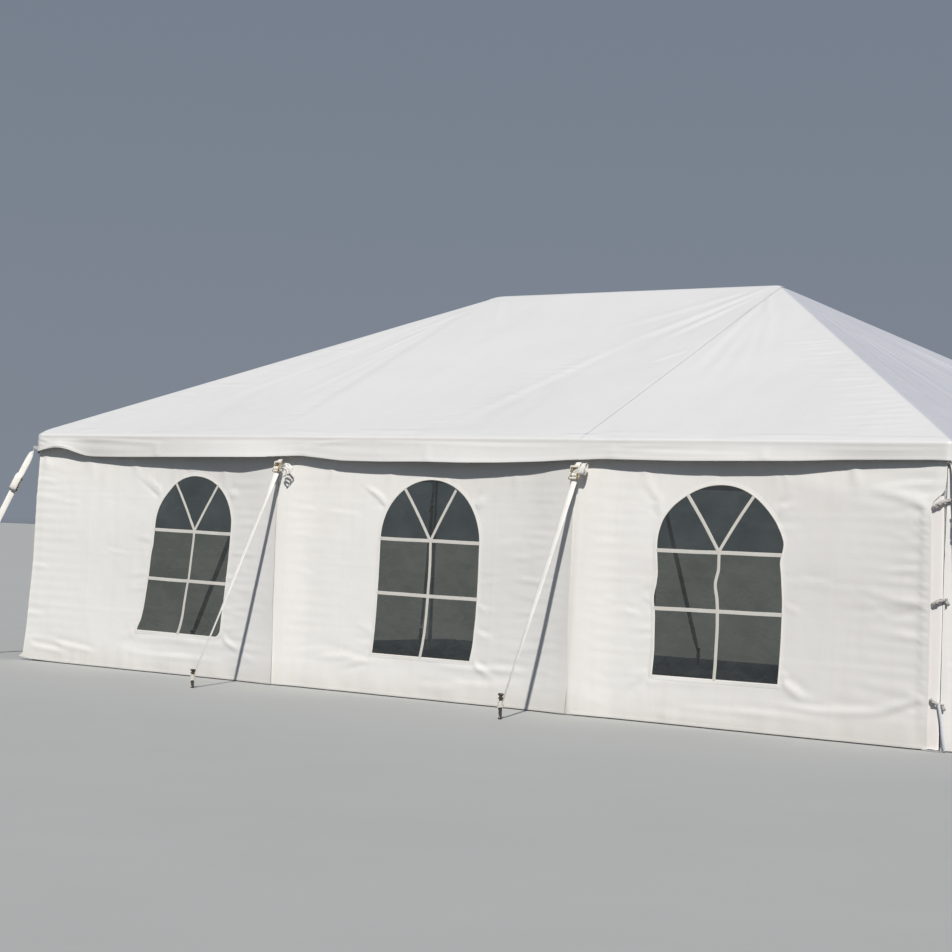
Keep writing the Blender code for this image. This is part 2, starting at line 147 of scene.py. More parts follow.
class Pile:
    """Collects many small closed shapes into one mesh."""

    def __init__(self):
        self.v, self.q, self.t, self.n = [], [], [], 0
        self.uv = []

    def add(self, verts, quads=(), tris=(), uv=None):
        verts = np.asarray(verts, float).reshape(-1, 3)
        if len(quads):
            self.q.append(np.asarray(quads, int) + self.n)
        if len(tris):
            self.t.append(np.asarray(tris, int) + self.n)
        self.v.append(verts)
        self.uv.append(np.zeros((len(verts), 2)) if uv is None
                       else np.asarray(uv, float))
        self.n += len(verts)

    def tube(self, path, radius, sides=8, caps=True, flat=1.0, up=(0, 0, 1)):
        """A round (or flattened) tube along a path, radius may vary."""
        p = np.asarray(path, float)
        r = np.broadcast_to(np.asarray(radius, float), (len(p),))
        tan = np.gradient(p, axis=0)
        tan /= np.linalg.norm(tan, axis=1)[:, None] + 1e-12
        ref = np.asarray(up, float)
        if abs(tan[0] @ ref) > 0.95:
            ref = np.array([1.0, 0.0, 0.0])
        nrm = []
        last = ref - tan[0] * (tan[0] @ ref)
        last /= np.linalg.norm(last)
        for t in tan:
            last = last - t * (t @ last)
            last /= np.linalg.norm(last) + 1e-12
            nrm.append(last)
        nrm = np.array(nrm)
        bi = np.cross(tan, nrm)
        ang = np.linspace(0, 2 * math.pi, sides, endpoint=False)
        ring = (nrm[:, None] * np.cos(ang)[None, :, None]
                + bi[:, None] * np.sin(ang)[None, :, None] * flat)
        v = p[:, None] + ring * r[:, None, None]
        k = len(p)
        i, j = np.meshgrid(np.arange(k - 1), np.arange(sides), indexing="ij")
        i, j = i.ravel(), j.ravel()
        j2 = (j + 1) % sides
        quads = np.stack([i * sides + j, i * sides + j2,
                          (i + 1) * sides + j2, (i + 1) * sides + j], 1)
        along = np.concatenate([[0], np.cumsum(
            np.linalg.norm(np.diff(p, axis=0), axis=1))])
        uv = np.stack([np.tile(ang / (2 * math.pi), k),
                       np.repeat(along, sides)], 1)
        verts, tris = v.reshape(-1, 3), []
        if caps:
            verts = np.vstack([verts, p[0], p[-1]])
            uv = np.vstack([uv, [0, 0], [0, along[-1]]])
            a, b = k * sides, k * sides + 1
            for s in range(sides):
                s2 = (s + 1) % sides
                tris.append((a, s2, s))
                tris.append((b, (k - 1) * sides + s, (k - 1) * sides + s2))
        self.add(verts, quads, tris, uv)

    def lathe(self, base, axis, profile, sides=20):
        """A turned solid: profile is (along axis, radius) from end to end."""
        axis = np.asarray(axis, float)
        axis /= np.linalg.norm(axis)
        prof = np.asarray(profile, float)
        path = np.asarray(base, float) + prof[:, :1] * axis
        ref = np.array([0, 0, 1.0]) if abs(axis[2]) < 0.9 else np.array([1.0, 0, 0])
        n = ref - axis * (axis @ ref)
        n /= np.linalg.norm(n)
        b = np.cross(axis, n)
        ang = np.linspace(0, 2 * math.pi, sides, endpoint=False)
        ring = n * np.cos(ang)[:, None] + b * np.sin(ang)[:, None]
        v = path[:, None] + ring[None] * prof[:, 1][:, None, None]
        k = len(prof)
        quads = [(i * sides + j, i * sides + (j + 1) % sides,
                  (i + 1) * sides + (j + 1) % sides, (i + 1) * sides + j)
                 for i in range(k - 1) for j in range(sides)]
        verts = np.vstack([v.reshape(-1, 3), path[0], path[-1]])
        tris = []
        for s in range(sides):
            s2 = (s + 1) % sides
            tris.append((k * sides, s2, s))
            tris.append((k * sides + 1, (k - 1) * sides + s,
                         (k - 1) * sides + s2))
        self.add(verts, quads, tris)

    def plate(self, outline, origin, ex, ey, thick, bevel=0.0):
        """An outline (in ex, ey) made a plate of that thickness, with its
        edges eased by a bevel."""
        o = np.asarray(outline, float)
        ex, ey = np.asarray(ex, float), np.asarray(ey, float)
        ez = np.cross(ex, ey)
        origin = np.asarray(origin, float)
        mid = o.mean(0)
        n = len(o)
        rows = []
        for h, inset in ((-thick / 2, bevel), (-thick / 2 + bevel, 0),
                         (thick / 2 - bevel, 0), (thick / 2, bevel)):
            d = o - mid
            size = np.linalg.norm(d, axis=1)[:, None] + 1e-9
            q = mid + d * (1 - inset / size)
            rows.append(origin + q[:, :1] * ex + q[:, 1:] * ey + h * ez)
        verts = np.vstack(rows + [(origin + mid[0] * ex + mid[1] * ey
                                   - thick / 2 * ez)[None],
                                  (origin + mid[0] * ex + mid[1] * ey
                                   + thick / 2 * ez)[None]])
        quads = [(r * n + i, r * n + (i + 1) % n, (r + 1) * n + (i + 1) % n,
                  (r + 1) * n + i) for r in range(3) for i in range(n)]
        tris = []
        for i in range(n):
            j = (i + 1) % n
            tris.append((4 * n, j, i))
            tris.append((4 * n + 1, 3 * n + i, 3 * n + j))
        self.add(verts, quads, tris)

    def make(self, name, mat, slot=None, sharp=35, **kw):
        groups = []
        if self.q:
            groups.append(np.vstack(self.q))
        if self.t:
            groups.append(np.vstack(self.t))
        return build(name, np.vstack(self.v), groups, mat, slot=slot,
                     sharp=sharp, uv=np.vstack(self.uv), **kw)


# ------------------------------------------------------------------ materials
class Nodes:
    """Short hand for a node material round one Principled shader."""

    def __init__(self, name, **values):
        self.mat = bpy.data.materials.new(name)
        self.mat.use_nodes = True
        self.tree = self.mat.node_tree
        self.shader = self.tree.nodes["Principled BSDF"]
        self.where = self.tree.nodes.new("ShaderNodeTexCoord")
        for key, value in values.items():
            self.set(self.shader, key, value)

    def set(self, node, key, value):
        name = key.replace("_", " ")
        socket = node.inputs[name]
        if isinstance(value, bpy.types.NodeSocket):
            self.tree.links.new(value, socket)
        elif isinstance(value, (tuple, list)) and len(value) == 3 \
                and socket.type == "RGBA":
            socket.default_value = (*value, 1.0)
        else:
            socket.default_value = value

    def new(self, kind, **values):
        node = self.tree.nodes.new("ShaderNode" + kind)
        for key, value in values.items():
            if key.startswith("_"):
                setattr(node, key[1:], value)
            else:
                self.set(node, key, value)
        return node

    def noise(self, scale, detail=3.0, rough=0.55, vec=None, warp=0.0):
        return self.new("TexNoise", Vector=vec or self.where.outputs["Object"],
                        Scale=scale, Detail=detail, Roughness=rough,
                        Distortion=warp).outputs["Fac"]

    def math(self, op, a, b=None, clamp=False):
        node = self.tree.nodes.new("ShaderNodeMath")
        node.operation = op
        node.use_clamp = clamp
        for i, x in enumerate((a, b)):
            if x is None:
                continue
            if isinstance(x, bpy.types.NodeSocket):
                self.tree.links.new(x, node.inputs[i])
            else:
                node.inputs[i].default_value = x
        return node.outputs[0]

    def span(self, x, lo, hi, to_lo=0.0, to_hi=1.0):
        node = self.tree.nodes.new("ShaderNodeMapRange")
        self.tree.links.new(x, node.inputs["Value"])
        node.inputs["From Min"].default_value = lo
        node.inputs["From Max"].default_value = hi
        node.inputs["To Min"].default_value = to_lo
        node.inputs["To Max"].default_value = to_hi
        return node.outputs["Result"]

    def blend(self, fac, a, b, mode="MIX"):
        node = self.tree.nodes.new("ShaderNodeMix")
        node.data_type = "RGBA"
        node.blend_type = mode
        for name, x in (("Factor", fac), ("A", a), ("B", b)):
            sockets = [s for s in node.inputs if s.name == name
                       and (s.type == "RGBA" or name == "Factor")]
            socket = sockets[0]
            if isinstance(x, bpy.types.NodeSocket):
                self.tree.links.new(x, socket)
            elif isinstance(x, (tuple, list)):
                socket.default_value = (*x, 1.0)
            else:
                socket.default_value = x
        return [s for s in node.outputs if s.type == "RGBA"][0]

    def bump(self, height, strength, distance, under=None):
        node = self.new("Bump", Strength=strength, Distance=distance,
                        Height=height)
        if under is not None:
            self.tree.links.new(under, node.inputs["Normal"])
        return node.outputs["Normal"]

    def split(self, vec):
        node = self.new("SeparateXYZ", Vector=vec)
        return node.outputs

    def wave(self, direction, period, vec=None, warp=0.0, profile="SIN"):
        node = self.new("TexWave", _wave_type="BANDS",
                        _bands_direction=direction, _wave_profile=profile,
                        Vector=vec or self.where.outputs["Object"],
                        Scale=2 * math.pi / (20 * period), Distortion=warp,
                        Detail=2.0)
        return node.outputs["Fac"]


def vinyl(name, colour, shade, dirt, rough, axes, wall=False, wear_and_painted_shade=None,
          painted_end_shade=None):
    """Coated tent fabric: near white, faint scrim, storage creases, dust.
    wall shade band: painted shade, not wear: the stretch along X over which a wall is painted
    greyer towards its laced edge, standing in for the cloth there turning away from the light,
    and a slant above which its head is left lit;
    end slope tint: painted shade, a bluish darkening multiplied onto the canopy's end slopes,
    standing in for the weaker light on them."""
    m = Nodes(name, IOR=1.48)
    m.set(m.shader, "Specular IOR Level", 0.38)
    m.set(m.shader, "Coat Weight", 0.06)
    m.set(m.shader, "Coat Roughness", 0.35)
    big = m.noise(0.55, 3, 0.55)
    mid = m.noise(3.2, 4, 0.6)
    fine = m.noise(38.0, 3, 0.6)
    col = m.blend(m.span(big, 0.32, 0.68), colour, shade)
    east, north, height = m.split(m.where.outputs["Object"])
    if wear_and_painted_shade is not None:
        # painted shade: the wall is multiplied greyer towards its laced edge, for the cloth
        # turning away from the light there
        lo, hi, dark, top = wear_and_painted_shade
        drift = m.math("ADD", east, m.math("MULTIPLY", mid, 0.25))
        painted_shade = m.span(drift, lo + 0.12, hi + 0.12)
        if top:
            # painted light: above a slanting fold the head of the cloth is left out of the
            # painted shade, standing in for the head turning towards the light
            line = m.math("ADD", height, m.math("MULTIPLY", east, top))
            lit_head = m.span(line, 1.62 + 4.1 * top, 1.72 + 4.1 * top, 1.0, 0.0)
            painted_shade = m.math("MULTIPLY", painted_shade, lit_head)
        col = m.blend(painted_shade, col, dark, "MULTIPLY")
    if painted_end_shade is not None:
        # painted shade: past the hips the end slopes are multiplied darker and bluer, for the
        # weaker light there
        beyond = m.math("SUBTRACT", m.math("ABSOLUTE", east),
                        m.math("ABSOLUTE", north))
        col = m.blend(m.span(beyond, MID_X - 0.01, MID_X + 0.02), col, painted_end_shade,
                      "MULTIPLY")
    # dust that gathered in soft streaks down the cloth
    streak = m.new("Mapping", Vector=m.where.outputs["Object"],
                   Scale=(9.0, 9.0, 0.8) if wall else (5.0, 1.1, 1.1))
    run = m.noise(1.0, 4, 0.62, vec=streak.outputs["Vector"])
    amount = m.math("MULTIPLY", m.span(run, 0.52, 0.80), 0.10)
    speck = m.math("MULTIPLY", m.span(fine, 0.62, 0.80), 0.10)
    amount = m.math("ADD", amount, speck)
    amount = m.math("ADD", amount,
                    m.math("MULTIPLY", m.span(mid, 0.55, 0.85), 0.10))
    z = m.split(m.where.outputs["Object"])[2]
    if wall:
        # splash and grass marks low on the wall, fading upwards
        low = m.span(m.math("ADD", z, m.math("MULTIPLY", mid, 0.16)),
                     0.10, 0.30, 1.0, 0.0)
        amount = m.math("ADD", amount, m.math("MULTIPLY", low, 0.20))
    amount = m.math("MINIMUM", amount, 0.6)
    col = m.blend(amount, col, dirt)
    m.set(m.shader, "Base Color", col)
    m.set(m.shader, "Roughness",
          m.span(m.math("ADD", mid, m.math("MULTIPLY", fine, 0.5)), 0.4, 1.1,
                 rough - 0.07, rough + 0.10))
    weave = m.math("MULTIPLY", m.wave(axes[0], 0.0032), m.wave(axes[1], 0.0032))
    rumple = m.noise(9.0, 5, 0.55, warp=0.3)
    cells = m.new("TexVoronoi", _feature="DISTANCE_TO_EDGE",
                  Vector=m.where.outputs["Object"], Scale=2.3)
    lines = m.span(cells.outputs["Distance"], 0.0, 0.018, 1.0, 0.0)
    n1 = m.bump(weave, 0.22, 0.0004)
    n2 = m.bump(rumple, 0.30, 0.006, n1)
    n3 = m.bump(lines, 0.10, 0.0015, n2)
    m.set(m.shader, "Normal", n3)
    return m.mat


# the canopy's end slopes get a painted shade tint
ROOF = vinyl("canopy_vinyl", (0.726, 0.718, 0.707), (0.697, 0.691, 0.685),
             (0.52, 0.50, 0.47), 0.44, ("X", "Y"),
             painted_end_shade=(0.85, 0.86, 0.93))
VALANCE = vinyl("valance_vinyl", (0.735, 0.727, 0.704), (0.708, 0.701, 0.682),
                (0.50, 0.48, 0.43), 0.44, ("X", "Z"))
# the side walls carry painted shade greying towards their laced edges; the right one keeps its
# head lit
WALL_LEFT = vinyl("side_wall_vinyl_left", (0.860, 0.848, 0.820),
                  (0.830, 0.818, 0.790), (0.52, 0.485, 0.40), 0.48, ("X", "Z"),
                  wall=True, wear_and_painted_shade=(-3.60, -1.75, (0.905, 0.908, 0.915), 0.0))
WALL_MID = vinyl("side_wall_vinyl_middle", (0.860, 0.848, 0.820),
                 (0.830, 0.818, 0.790), (0.52, 0.485, 0.40), 0.48, ("X", "Z"),
                 wall=True, wear_and_painted_shade=(-0.40, 1.20, (0.890, 0.890, 0.890), 0.0))
WALL_RIGHT = vinyl("side_wall_vinyl_right", (0.860, 0.848, 0.820),
                   (0.830, 0.818, 0.790), (0.52, 0.485, 0.40), 0.48, ("X", "Z"),
                   wall=True, wear_and_painted_shade=(2.10, 3.60, (0.890, 0.888, 0.890), 0.22))
WALL = vinyl("side_wall_vinyl", (0.860, 0.848, 0.820), (0.830, 0.818, 0.790),
             (0.52, 0.485, 0.40), 0.48, ("X", "Z"), wall=True)
WALL_END = vinyl("end_wall_vinyl", (0.785, 0.775, 0.750), (0.757, 0.747, 0.722),
                 (0.52, 0.485, 0.40), 0.48, ("Y", "Z"), wall=True)


def hem_vinyl():
    """Folded and welded edges: a touch creamier and glossier."""
    m = Nodes("hem_vinyl", IOR=1.48)
    m.set(m.shader, "Specular IOR Level", 0.42)
    mid = m.noise(6.0, 4, 0.6)
    m.set(m.shader, "Base Color", m.blend(m.span(mid, 0.3, 0.75),
                                          (0.86, 0.845, 0.80),
                                          (0.79, 0.77, 0.715)))
    m.set(m.shader, "Roughness", m.span(mid, 0.3, 0.8, 0.34, 0.46))
    knurl = m.math("MULTIPLY", m.wave("X", 0.004), m.wave("Z", 0.004))
    m.set(m.shader, "Normal", m.bump(m.noise(40, 3), 0.3, 0.001,
                                     m.bump(knurl, 0.25, 0.0005)))
    return m.mat


HEM = hem_vinyl()
FLAP = vinyl("corner_flap_vinyl", (0.880, 0.845, 0.825), (0.850, 0.815, 0.795),
             (0.56, 0.50, 0.43), 0.48, ("X", "Z"), wall=True)


def bar_vinyl():
    """Glazing tapes on the clear sheets: thin vinyl, its colour painted darker than the walls,
    painted shade standing in for the dark inside showing through."""
    m = Nodes("glazing_tape_vinyl", IOR=1.48, Roughness=0.42)
    m.set(m.shader, "Specular IOR Level", 0.40)
    mid = m.noise(7.0, 4, 0.6)
    # painted shade: the tape's tones are darkened for the dark inside seen through it
    m.set(m.shader, "Base Color", m.blend(m.span(mid, 0.3, 0.75),
                                          (0.66, 0.645, 0.60),
                                          (0.59, 0.575, 0.53)))
    m.set(m.shader, "Normal", m.bump(m.noise(34, 3), 0.3, 0.001))
    return m.mat


BAR = bar_vinyl()


def film():
    """Clear vinyl: sees through, dimmed by a dark tint that is painted shade, with a faint haze
    and a wavy gloss.
    """
    m = Nodes("clear_vinyl", Roughness=0.10, IOR=1.5)
    m.set(m.shader, "Base Color", (0.62, 0.66, 0.68))
    ripples = m.noise(5.5, 3, 0.5, warp=0.4)
    fine = m.noise(26.0, 2, 0.5)
    n = m.bump(ripples, 0.55, 0.012, m.bump(fine, 0.15, 0.002))
    m.set(m.shader, "Normal", n)
    # painted shade: whatever shows through is tinted dark, standing in for the shade behind the
    # sheet
    clear = m.new("BsdfTransparent", Color=(0.165, 0.175, 0.150))
    gloss = m.new("BsdfGlossy", Color=(0.95, 0.97, 1.0), Roughness=0.05,
                  Normal=n)
    haze = m.span(m.noise(3.0, 4, 0.6), 0.3, 0.8, 0.02, 0.07)
    first = m.new("MixShader", Fac=haze)
    m.tree.links.new(clear.outputs[0], first.inputs[1])
    m.tree.links.new(m.shader.outputs[0], first.inputs[2])
    edge = m.new("Fresnel", IOR=1.45, Normal=n)
    second = m.new("MixShader", Fac=edge.outputs[0])
    m.tree.links.new(first.outputs[0], second.inputs[1])
    m.tree.links.new(gloss.outputs[0], second.inputs[2])
    out = next(x for x in m.tree.nodes if x.type == "OUTPUT_MATERIAL")
    m.tree.links.new(second.outputs[0], out.inputs["Surface"])
    return m.mat


FILM = film()


def aluminium():
    m = Nodes("satin_aluminium", Metallic=0.92, IOR=1.5)
    wear = m.noise(14.0, 5, 0.65)
    spots = m.noise(2.2, 4, 0.6)
    scratch = m.new("Mapping", Vector=m.where.outputs["Object"],
                    Rotation=(0.3, 0.4, 0.2), Scale=(240.0, 18.0, 60.0))
    fine = m.noise(1.0, 3, 0.6, vec=scratch.outputs["Vector"])
    col = m.blend(m.span(spots, 0.35, 0.7), (0.74, 0.75, 0.765),
                  (0.60, 0.61, 0.625))
    col = m.blend(m.math("MULTIPLY", m.span(wear, 0.56, 0.72), 0.5), col,
                  (0.42, 0.42, 0.42))
    m.set(m.shader, "Base Color", col)
    m.set(m.shader, "Roughness", m.math(
        "ADD", m.span(fine, 0.3, 0.7, 0.28, 0.44),
        m.math("MULTIPLY", m.span(wear, 0.5, 0.75), 0.14)))
    m.set(m.shader, "Normal", m.bump(fine, 0.08, 0.0006,
                                     m.bump(wear, 0.12, 0.0012)))
    return m.mat


ALU = aluminium()


def webbing():
    """Flat polyester strap: off-white, ribbed, with woven edges. UV: u runs
    across (0 to 1), v along in metres."""
    m = Nodes("strap_webbing_cloth", Roughness=0.72, IOR=1.5)
    m.set(m.shader, "Sheen Weight", 0.15)
    m.set(m.shader, "Sheen Roughness", 0.5)
    uv = m.split(m.where.outputs["UV"])
    ribs = m.math("SINE", m.math("MULTIPLY", uv[1], 2 * math.pi / 0.0022))
    ends = m.math("SINE", m.math("MULTIPLY", uv[0], 2 * math.pi * 13))
    weave = m.math("MULTIPLY", ribs, ends)
    dirt = m.noise(11.0, 4, 0.65)
    side = m.math("ABSOLUTE", m.math("SUBTRACT", uv[0], 0.5))
    edge = m.span(side, 0.40, 0.47)
    col = m.blend(m.span(dirt, 0.40, 0.85), (0.91, 0.895, 0.86),
                  (0.78, 0.755, 0.70))
    col = m.blend(m.math("MULTIPLY", edge, 0.20), col, (0.66, 0.63, 0.57))
    z = m.split(m.where.outputs["Object"])[2]
    low = m.span(z, 0.08, 0.45, 0.42, 0.0)
    col = m.blend(low, col, (0.42, 0.38, 0.28))
    col = m.blend(m.span(weave, -1, 1, 0.0, 0.09), col, (0.50, 0.48, 0.43))
    m.set(m.shader, "Base Color", col)
    m.set(m.shader, "Normal", m.bump(weave, 0.55, 0.0006,
                                     m.bump(dirt, 0.12, 0.002)))
    return m.mat


WEB = webbing()


def metal(name, colour, wear_and_painted_shade, rough, metallic, spread=(0.5, 0.72), scale=22.0):
    m = Nodes(name, Metallic=metallic, IOR=1.5)
    patches = m.noise(scale, 5, 0.65)
    fine = m.noise(scale * 6, 3, 0.6)
    # on metal this second colour is real wear only, laid by patchy noise
    m.set(m.shader, "Base Color", m.blend(m.span(patches, *spread), colour,
                                          wear_and_painted_shade))
    m.set(m.shader, "Roughness", m.span(patches, 0.35, 0.75, rough,
                                        rough + 0.22))
    m.set(m.shader, "Normal", m.bump(fine, 0.2, 0.0006,
                                     m.bump(patches, 0.25, 0.0015)))
    return m.mat


ZINC = metal("zinc_plate", (0.78, 0.72, 0.58), (0.50, 0.40, 0.25), 0.30, 0.85)
BRONZE = metal("worn_bronze_steel", (0.30, 0.22, 0.13), (0.16, 0.11, 0.07),
               0.42, 0.75)
STAKE = metal("stake_steel", (0.085, 0.08, 0.078), (0.20, 0.10, 0.055), 0.48,
              0.7)
GRIP = metal("cream_grip", (0.78, 0.75, 0.66), (0.55, 0.50, 0.42), 0.42, 0.0)
BOLT = metal("bolt_steel", (0.62, 0.62, 0.61), (0.38, 0.36, 0.33), 0.30, 0.95)


def rope_cloth(name, a, b, turns=9.0):
    """Laid rope or twisted rag: diagonal strands from the tube's UVs."""
    m = Nodes(name, Roughness=0.82, IOR=1.5)
    m.set(m.shader, "Sheen Weight", 0.2)
    uv = m.split(m.where.outputs["UV"])
    phase = m.math("ADD", m.math("MULTIPLY", uv[0], 2 * math.pi * 3),
                   m.math("MULTIPLY", uv[1], 2 * math.pi / 0.012))
    strand = m.math("SINE", phase)
    fuzz = m.noise(130.0, 4, 0.7)
    # painted shade: the colour follows the strands' bump, darker in the grooves between them
    col = m.blend(m.span(strand, -1, 1), b, a)
    col = m.blend(m.span(fuzz, 0.45, 0.8, 0.0, 0.5), col, b)
    m.set(m.shader, "Base Color", col)
    m.set(m.shader, "Normal", m.bump(fuzz, 0.35, 0.001,
                                     m.bump(strand, 0.8, 0.0012)))
    return m.mat


ROPE = rope_cloth("tie_rope", (0.78, 0.76, 0.70), (0.50, 0.47, 0.40))
# the rag's colours are set darker, partly its own grey and partly painted shade for ties that
# sit shaded at the corner
RAG = rope_cloth("tie_rag", (0.69, 0.665, 0.64), (0.34, 0.32, 0.30))
RAG_TAIL = rope_cloth("tie_rag_tail", (0.84, 0.86, 0.90), (0.72, 0.74, 0.79))

# ------------------------------------------------------------ camera and light
CAM = Vector((10.7449, -16.6698, 1.33))
FOCAL = 2147.94


def rodrigues(r):
    r = np.asarray(r, float)
    t = np.linalg.norm(r)
    k = r / t
    K = np.array([[0, -k[2], k[1]], [k[2], 0, -k[0]], [-k[1], k[0], 0]])
    return np.eye(3) + math.sin(t) * K + (1 - math.cos(t)) * K @ K


turn = rodrigues((-0.0404, 0.64120, 0.0319)) @ np.array(
    [[1, 0, 0], [0, 0, -1], [0, 1, 0]])
right, up, back = turn[0], -turn[1], -turn[2]
cam_data = bpy.data.cameras.new("camera")
cam = bpy.data.objects.new("camera", cam_data)
SCENE.collection.objects.link(cam)
cam.matrix_world = Matrix(((right[0], up[0], back[0], CAM[0]),
                           (right[1], up[1], back[1], CAM[1]),
                           (right[2], up[2], back[2], CAM[2]), (0, 0, 0, 1)))
cam_data.sensor_width = 36.0
cam_data.lens = FOCAL / 952 * 36.0
cam_data.clip_start, cam_data.clip_end = 0.1, 500
SCENE.camera = cam


def lamp(name, kind, energy, colour, travel=None, angle=None):
    data = bpy.data.lights.new(name, kind)
    data.energy, data.color = energy, colour
    ob = bpy.data.objects.new(name, data)
    SCENE.collection.objects.link(ob)
    if travel is not None:
        ob.rotation_mode = "QUATERNION"
        ob.rotation_quaternion = Vector(travel).to_track_quat("-Z", "Y")
    if angle is not None:
        data.angle = math.radians(angle)
    return ob


lamp("key", "SUN", 3.78, (1.0, 0.965, 0.915), (-0.64, 1.0, -1.0), 1.2)
lamp("fill", "SUN", 0.09, (0.93, 0.96, 1.0), (0.75, 1.0, -0.75), 50)

world = bpy.data.worlds.new("studio")
SCENE.world = world
world.use_nodes = True
wt = world.node_tree
bg = wt.nodes["Background"]
coord = wt.nodes.new("ShaderNodeTexCoord")
sep = wt.nodes.new("ShaderNodeSeparateXYZ")
ramp = wt.nodes.new("ShaderNodeValToRGB")
tilt = wt.nodes.new("ShaderNodeMapRange")
tilt.inputs["From Min"].default_value = -1.0
tilt.inputs["From Max"].default_value = 1.0
wt.links.new(coord.outputs["Generated"], sep.inputs[0])
wt.links.new(sep.outputs["Z"], tilt.inputs["Value"])
wt.links.new(tilt.outputs["Result"], ramp.inputs["Fac"])
wt.links.new(ramp.outputs["Color"], bg.inputs["Color"])
ramp.color_ramp.elements[0].position = 0.0
ramp.color_ramp.elements[0].color = (0.085, 0.085, 0.080, 1)
ramp.color_ramp.elements[1].position = 0.80
ramp.color_ramp.elements[1].color = (0.135, 0.175, 0.245, 1)
for spot, tone in ((0.488, (0.105, 0.108, 0.110, 1)),
                   (0.500, (0.215, 0.245, 0.290, 1))):
    ramp.color_ramp.elements.new(spot).color = tone
bg.inputs["Strength"].default_value = 1.0
SCENE.view_settings.view_transform = "Standard"
SCENE.view_settings.look = "None"

# floor: a wide pale disc, very softly mottled
ring = 96
fv = [(0, 0, -0.0012)]
radii = (8, 16, 40, 120, 400)
for r in radii:
    fv += [(r * math.cos(2 * math.pi * i / ring),
            r * math.sin(2 * math.pi * i / ring), -0.0012) for i in range(ring)]
tris = [(0, 1 + i, 1 + (i + 1) % ring) for i in range(ring)]
quads = [(1 + k * ring + i, 1 + (k + 1) * ring + i,
          1 + (k + 1) * ring + (i + 1) % ring, 1 + k * ring + (i + 1) % ring)
         for k in range(len(radii) - 1) for i in range(ring)]
fm = Nodes("pale_floor", Roughness=0.85)
fm.set(fm.shader, "Base Color",
       fm.blend(fm.noise(0.7, 4, 0.6), (0.46, 0.465, 0.45),
                (0.42, 0.425, 0.412)))
floor = build("floor", fv, [tris, quads], fm.mat, body=None)
floor.visible_diffuse = False         # no light thrown up under the valance

# --------------------------------------------------------------------- canopy
ROOF_OFF = 0.0386           # mid line of the cloth above the tube axes
H_END = EDGE_Y / 155
NX_END, NX_MID = 155, 152
XS = np.concatenate([
    -EDGE_X + np.arange(NX_END) * H_END,
    -MID_X + np.arange(NX_MID) * (2 * MID_X / NX_MID),
    MID_X + np.arange(NX_END + 1) * H_END])
YS = np.arange(-155, 156) * H_END
I_LEFT, I_RIGHT = NX_END, NX_END + NX_MID    # columns over the section joints


def near_lines(x, y, lines):
    """Distance in plan from points to the nearest of some segments."""
    best = np.full(np.shape(x), 9.0)
    for (ax, ay), (bx, by) in lines:
        dx, dy = bx - ax, by - ay
        t = np.clip(((x - ax) * dx + (y - ay) * dy) / (dx * dx + dy * dy), 0, 1)
        best = np.minimum(best, np.hypot(x - ax - t * dx, y - ay - t * dy))
    return best


TUBE_LINES = [((-MID_X, 0), (MID_X, 0))]
for sx in (-1, 1):
    TUBE_LINES.append(((sx * MID_X, 0), (sx * LEG_X, 0)))
    TUBE_LINES.append(((sx * LEG_X, -LEG_Y), (sx * LEG_X, LEG_Y)))
    for sy in (-1, 1):
        TUBE_LINES.append(((sx * MID_X, 0), (sx * LEG_X, sy * LEG_Y)))
        TUBE_LINES.append(((sx * MID_X, 0), (sx * MID_X, sy * LEG_Y)))
for sy in (-1, 1):
    TUBE_LINES.append(((-LEG_X, sy * LEG_Y), (LEG_X, sy * LEG_Y)))

GX, GY = np.meshgrid(XS, YS, indexing="ij")
LINE_GAP = near_lines(GX, GY, TUBE_LINES)


def slack():
    """How a pulled skin settles between its tubes: the stretched-membrane
    equation on the plan grid, scaled so that the largest bay drops to 1."""
    held = LINE_GAP < 0.019
    held[0, :] = held[-1, :] = True
    held[:, 0] = held[:, -1] = True
    w = np.zeros_like(GX)
    i, j = np.indices(w.shape)
    red = ((i + j) % 2 == 0)[1:-1, 1:-1] & ~held[1:-1, 1:-1]
    black = ((i + j) % 2 == 1)[1:-1, 1:-1] & ~held[1:-1, 1:-1]
    inner = w[1:-1, 1:-1]
    for _ in range(420):
        for cells in (red, black):
            near = (w[:-2, 1:-1] + w[2:, 1:-1] + w[1:-1, :-2] + w[1:-1, 2:]
                    + 4e-4) * 0.25
            inner[cells] += 1.955 * (near - inner)[cells]
    return w / w.max()


SLACK = slack()


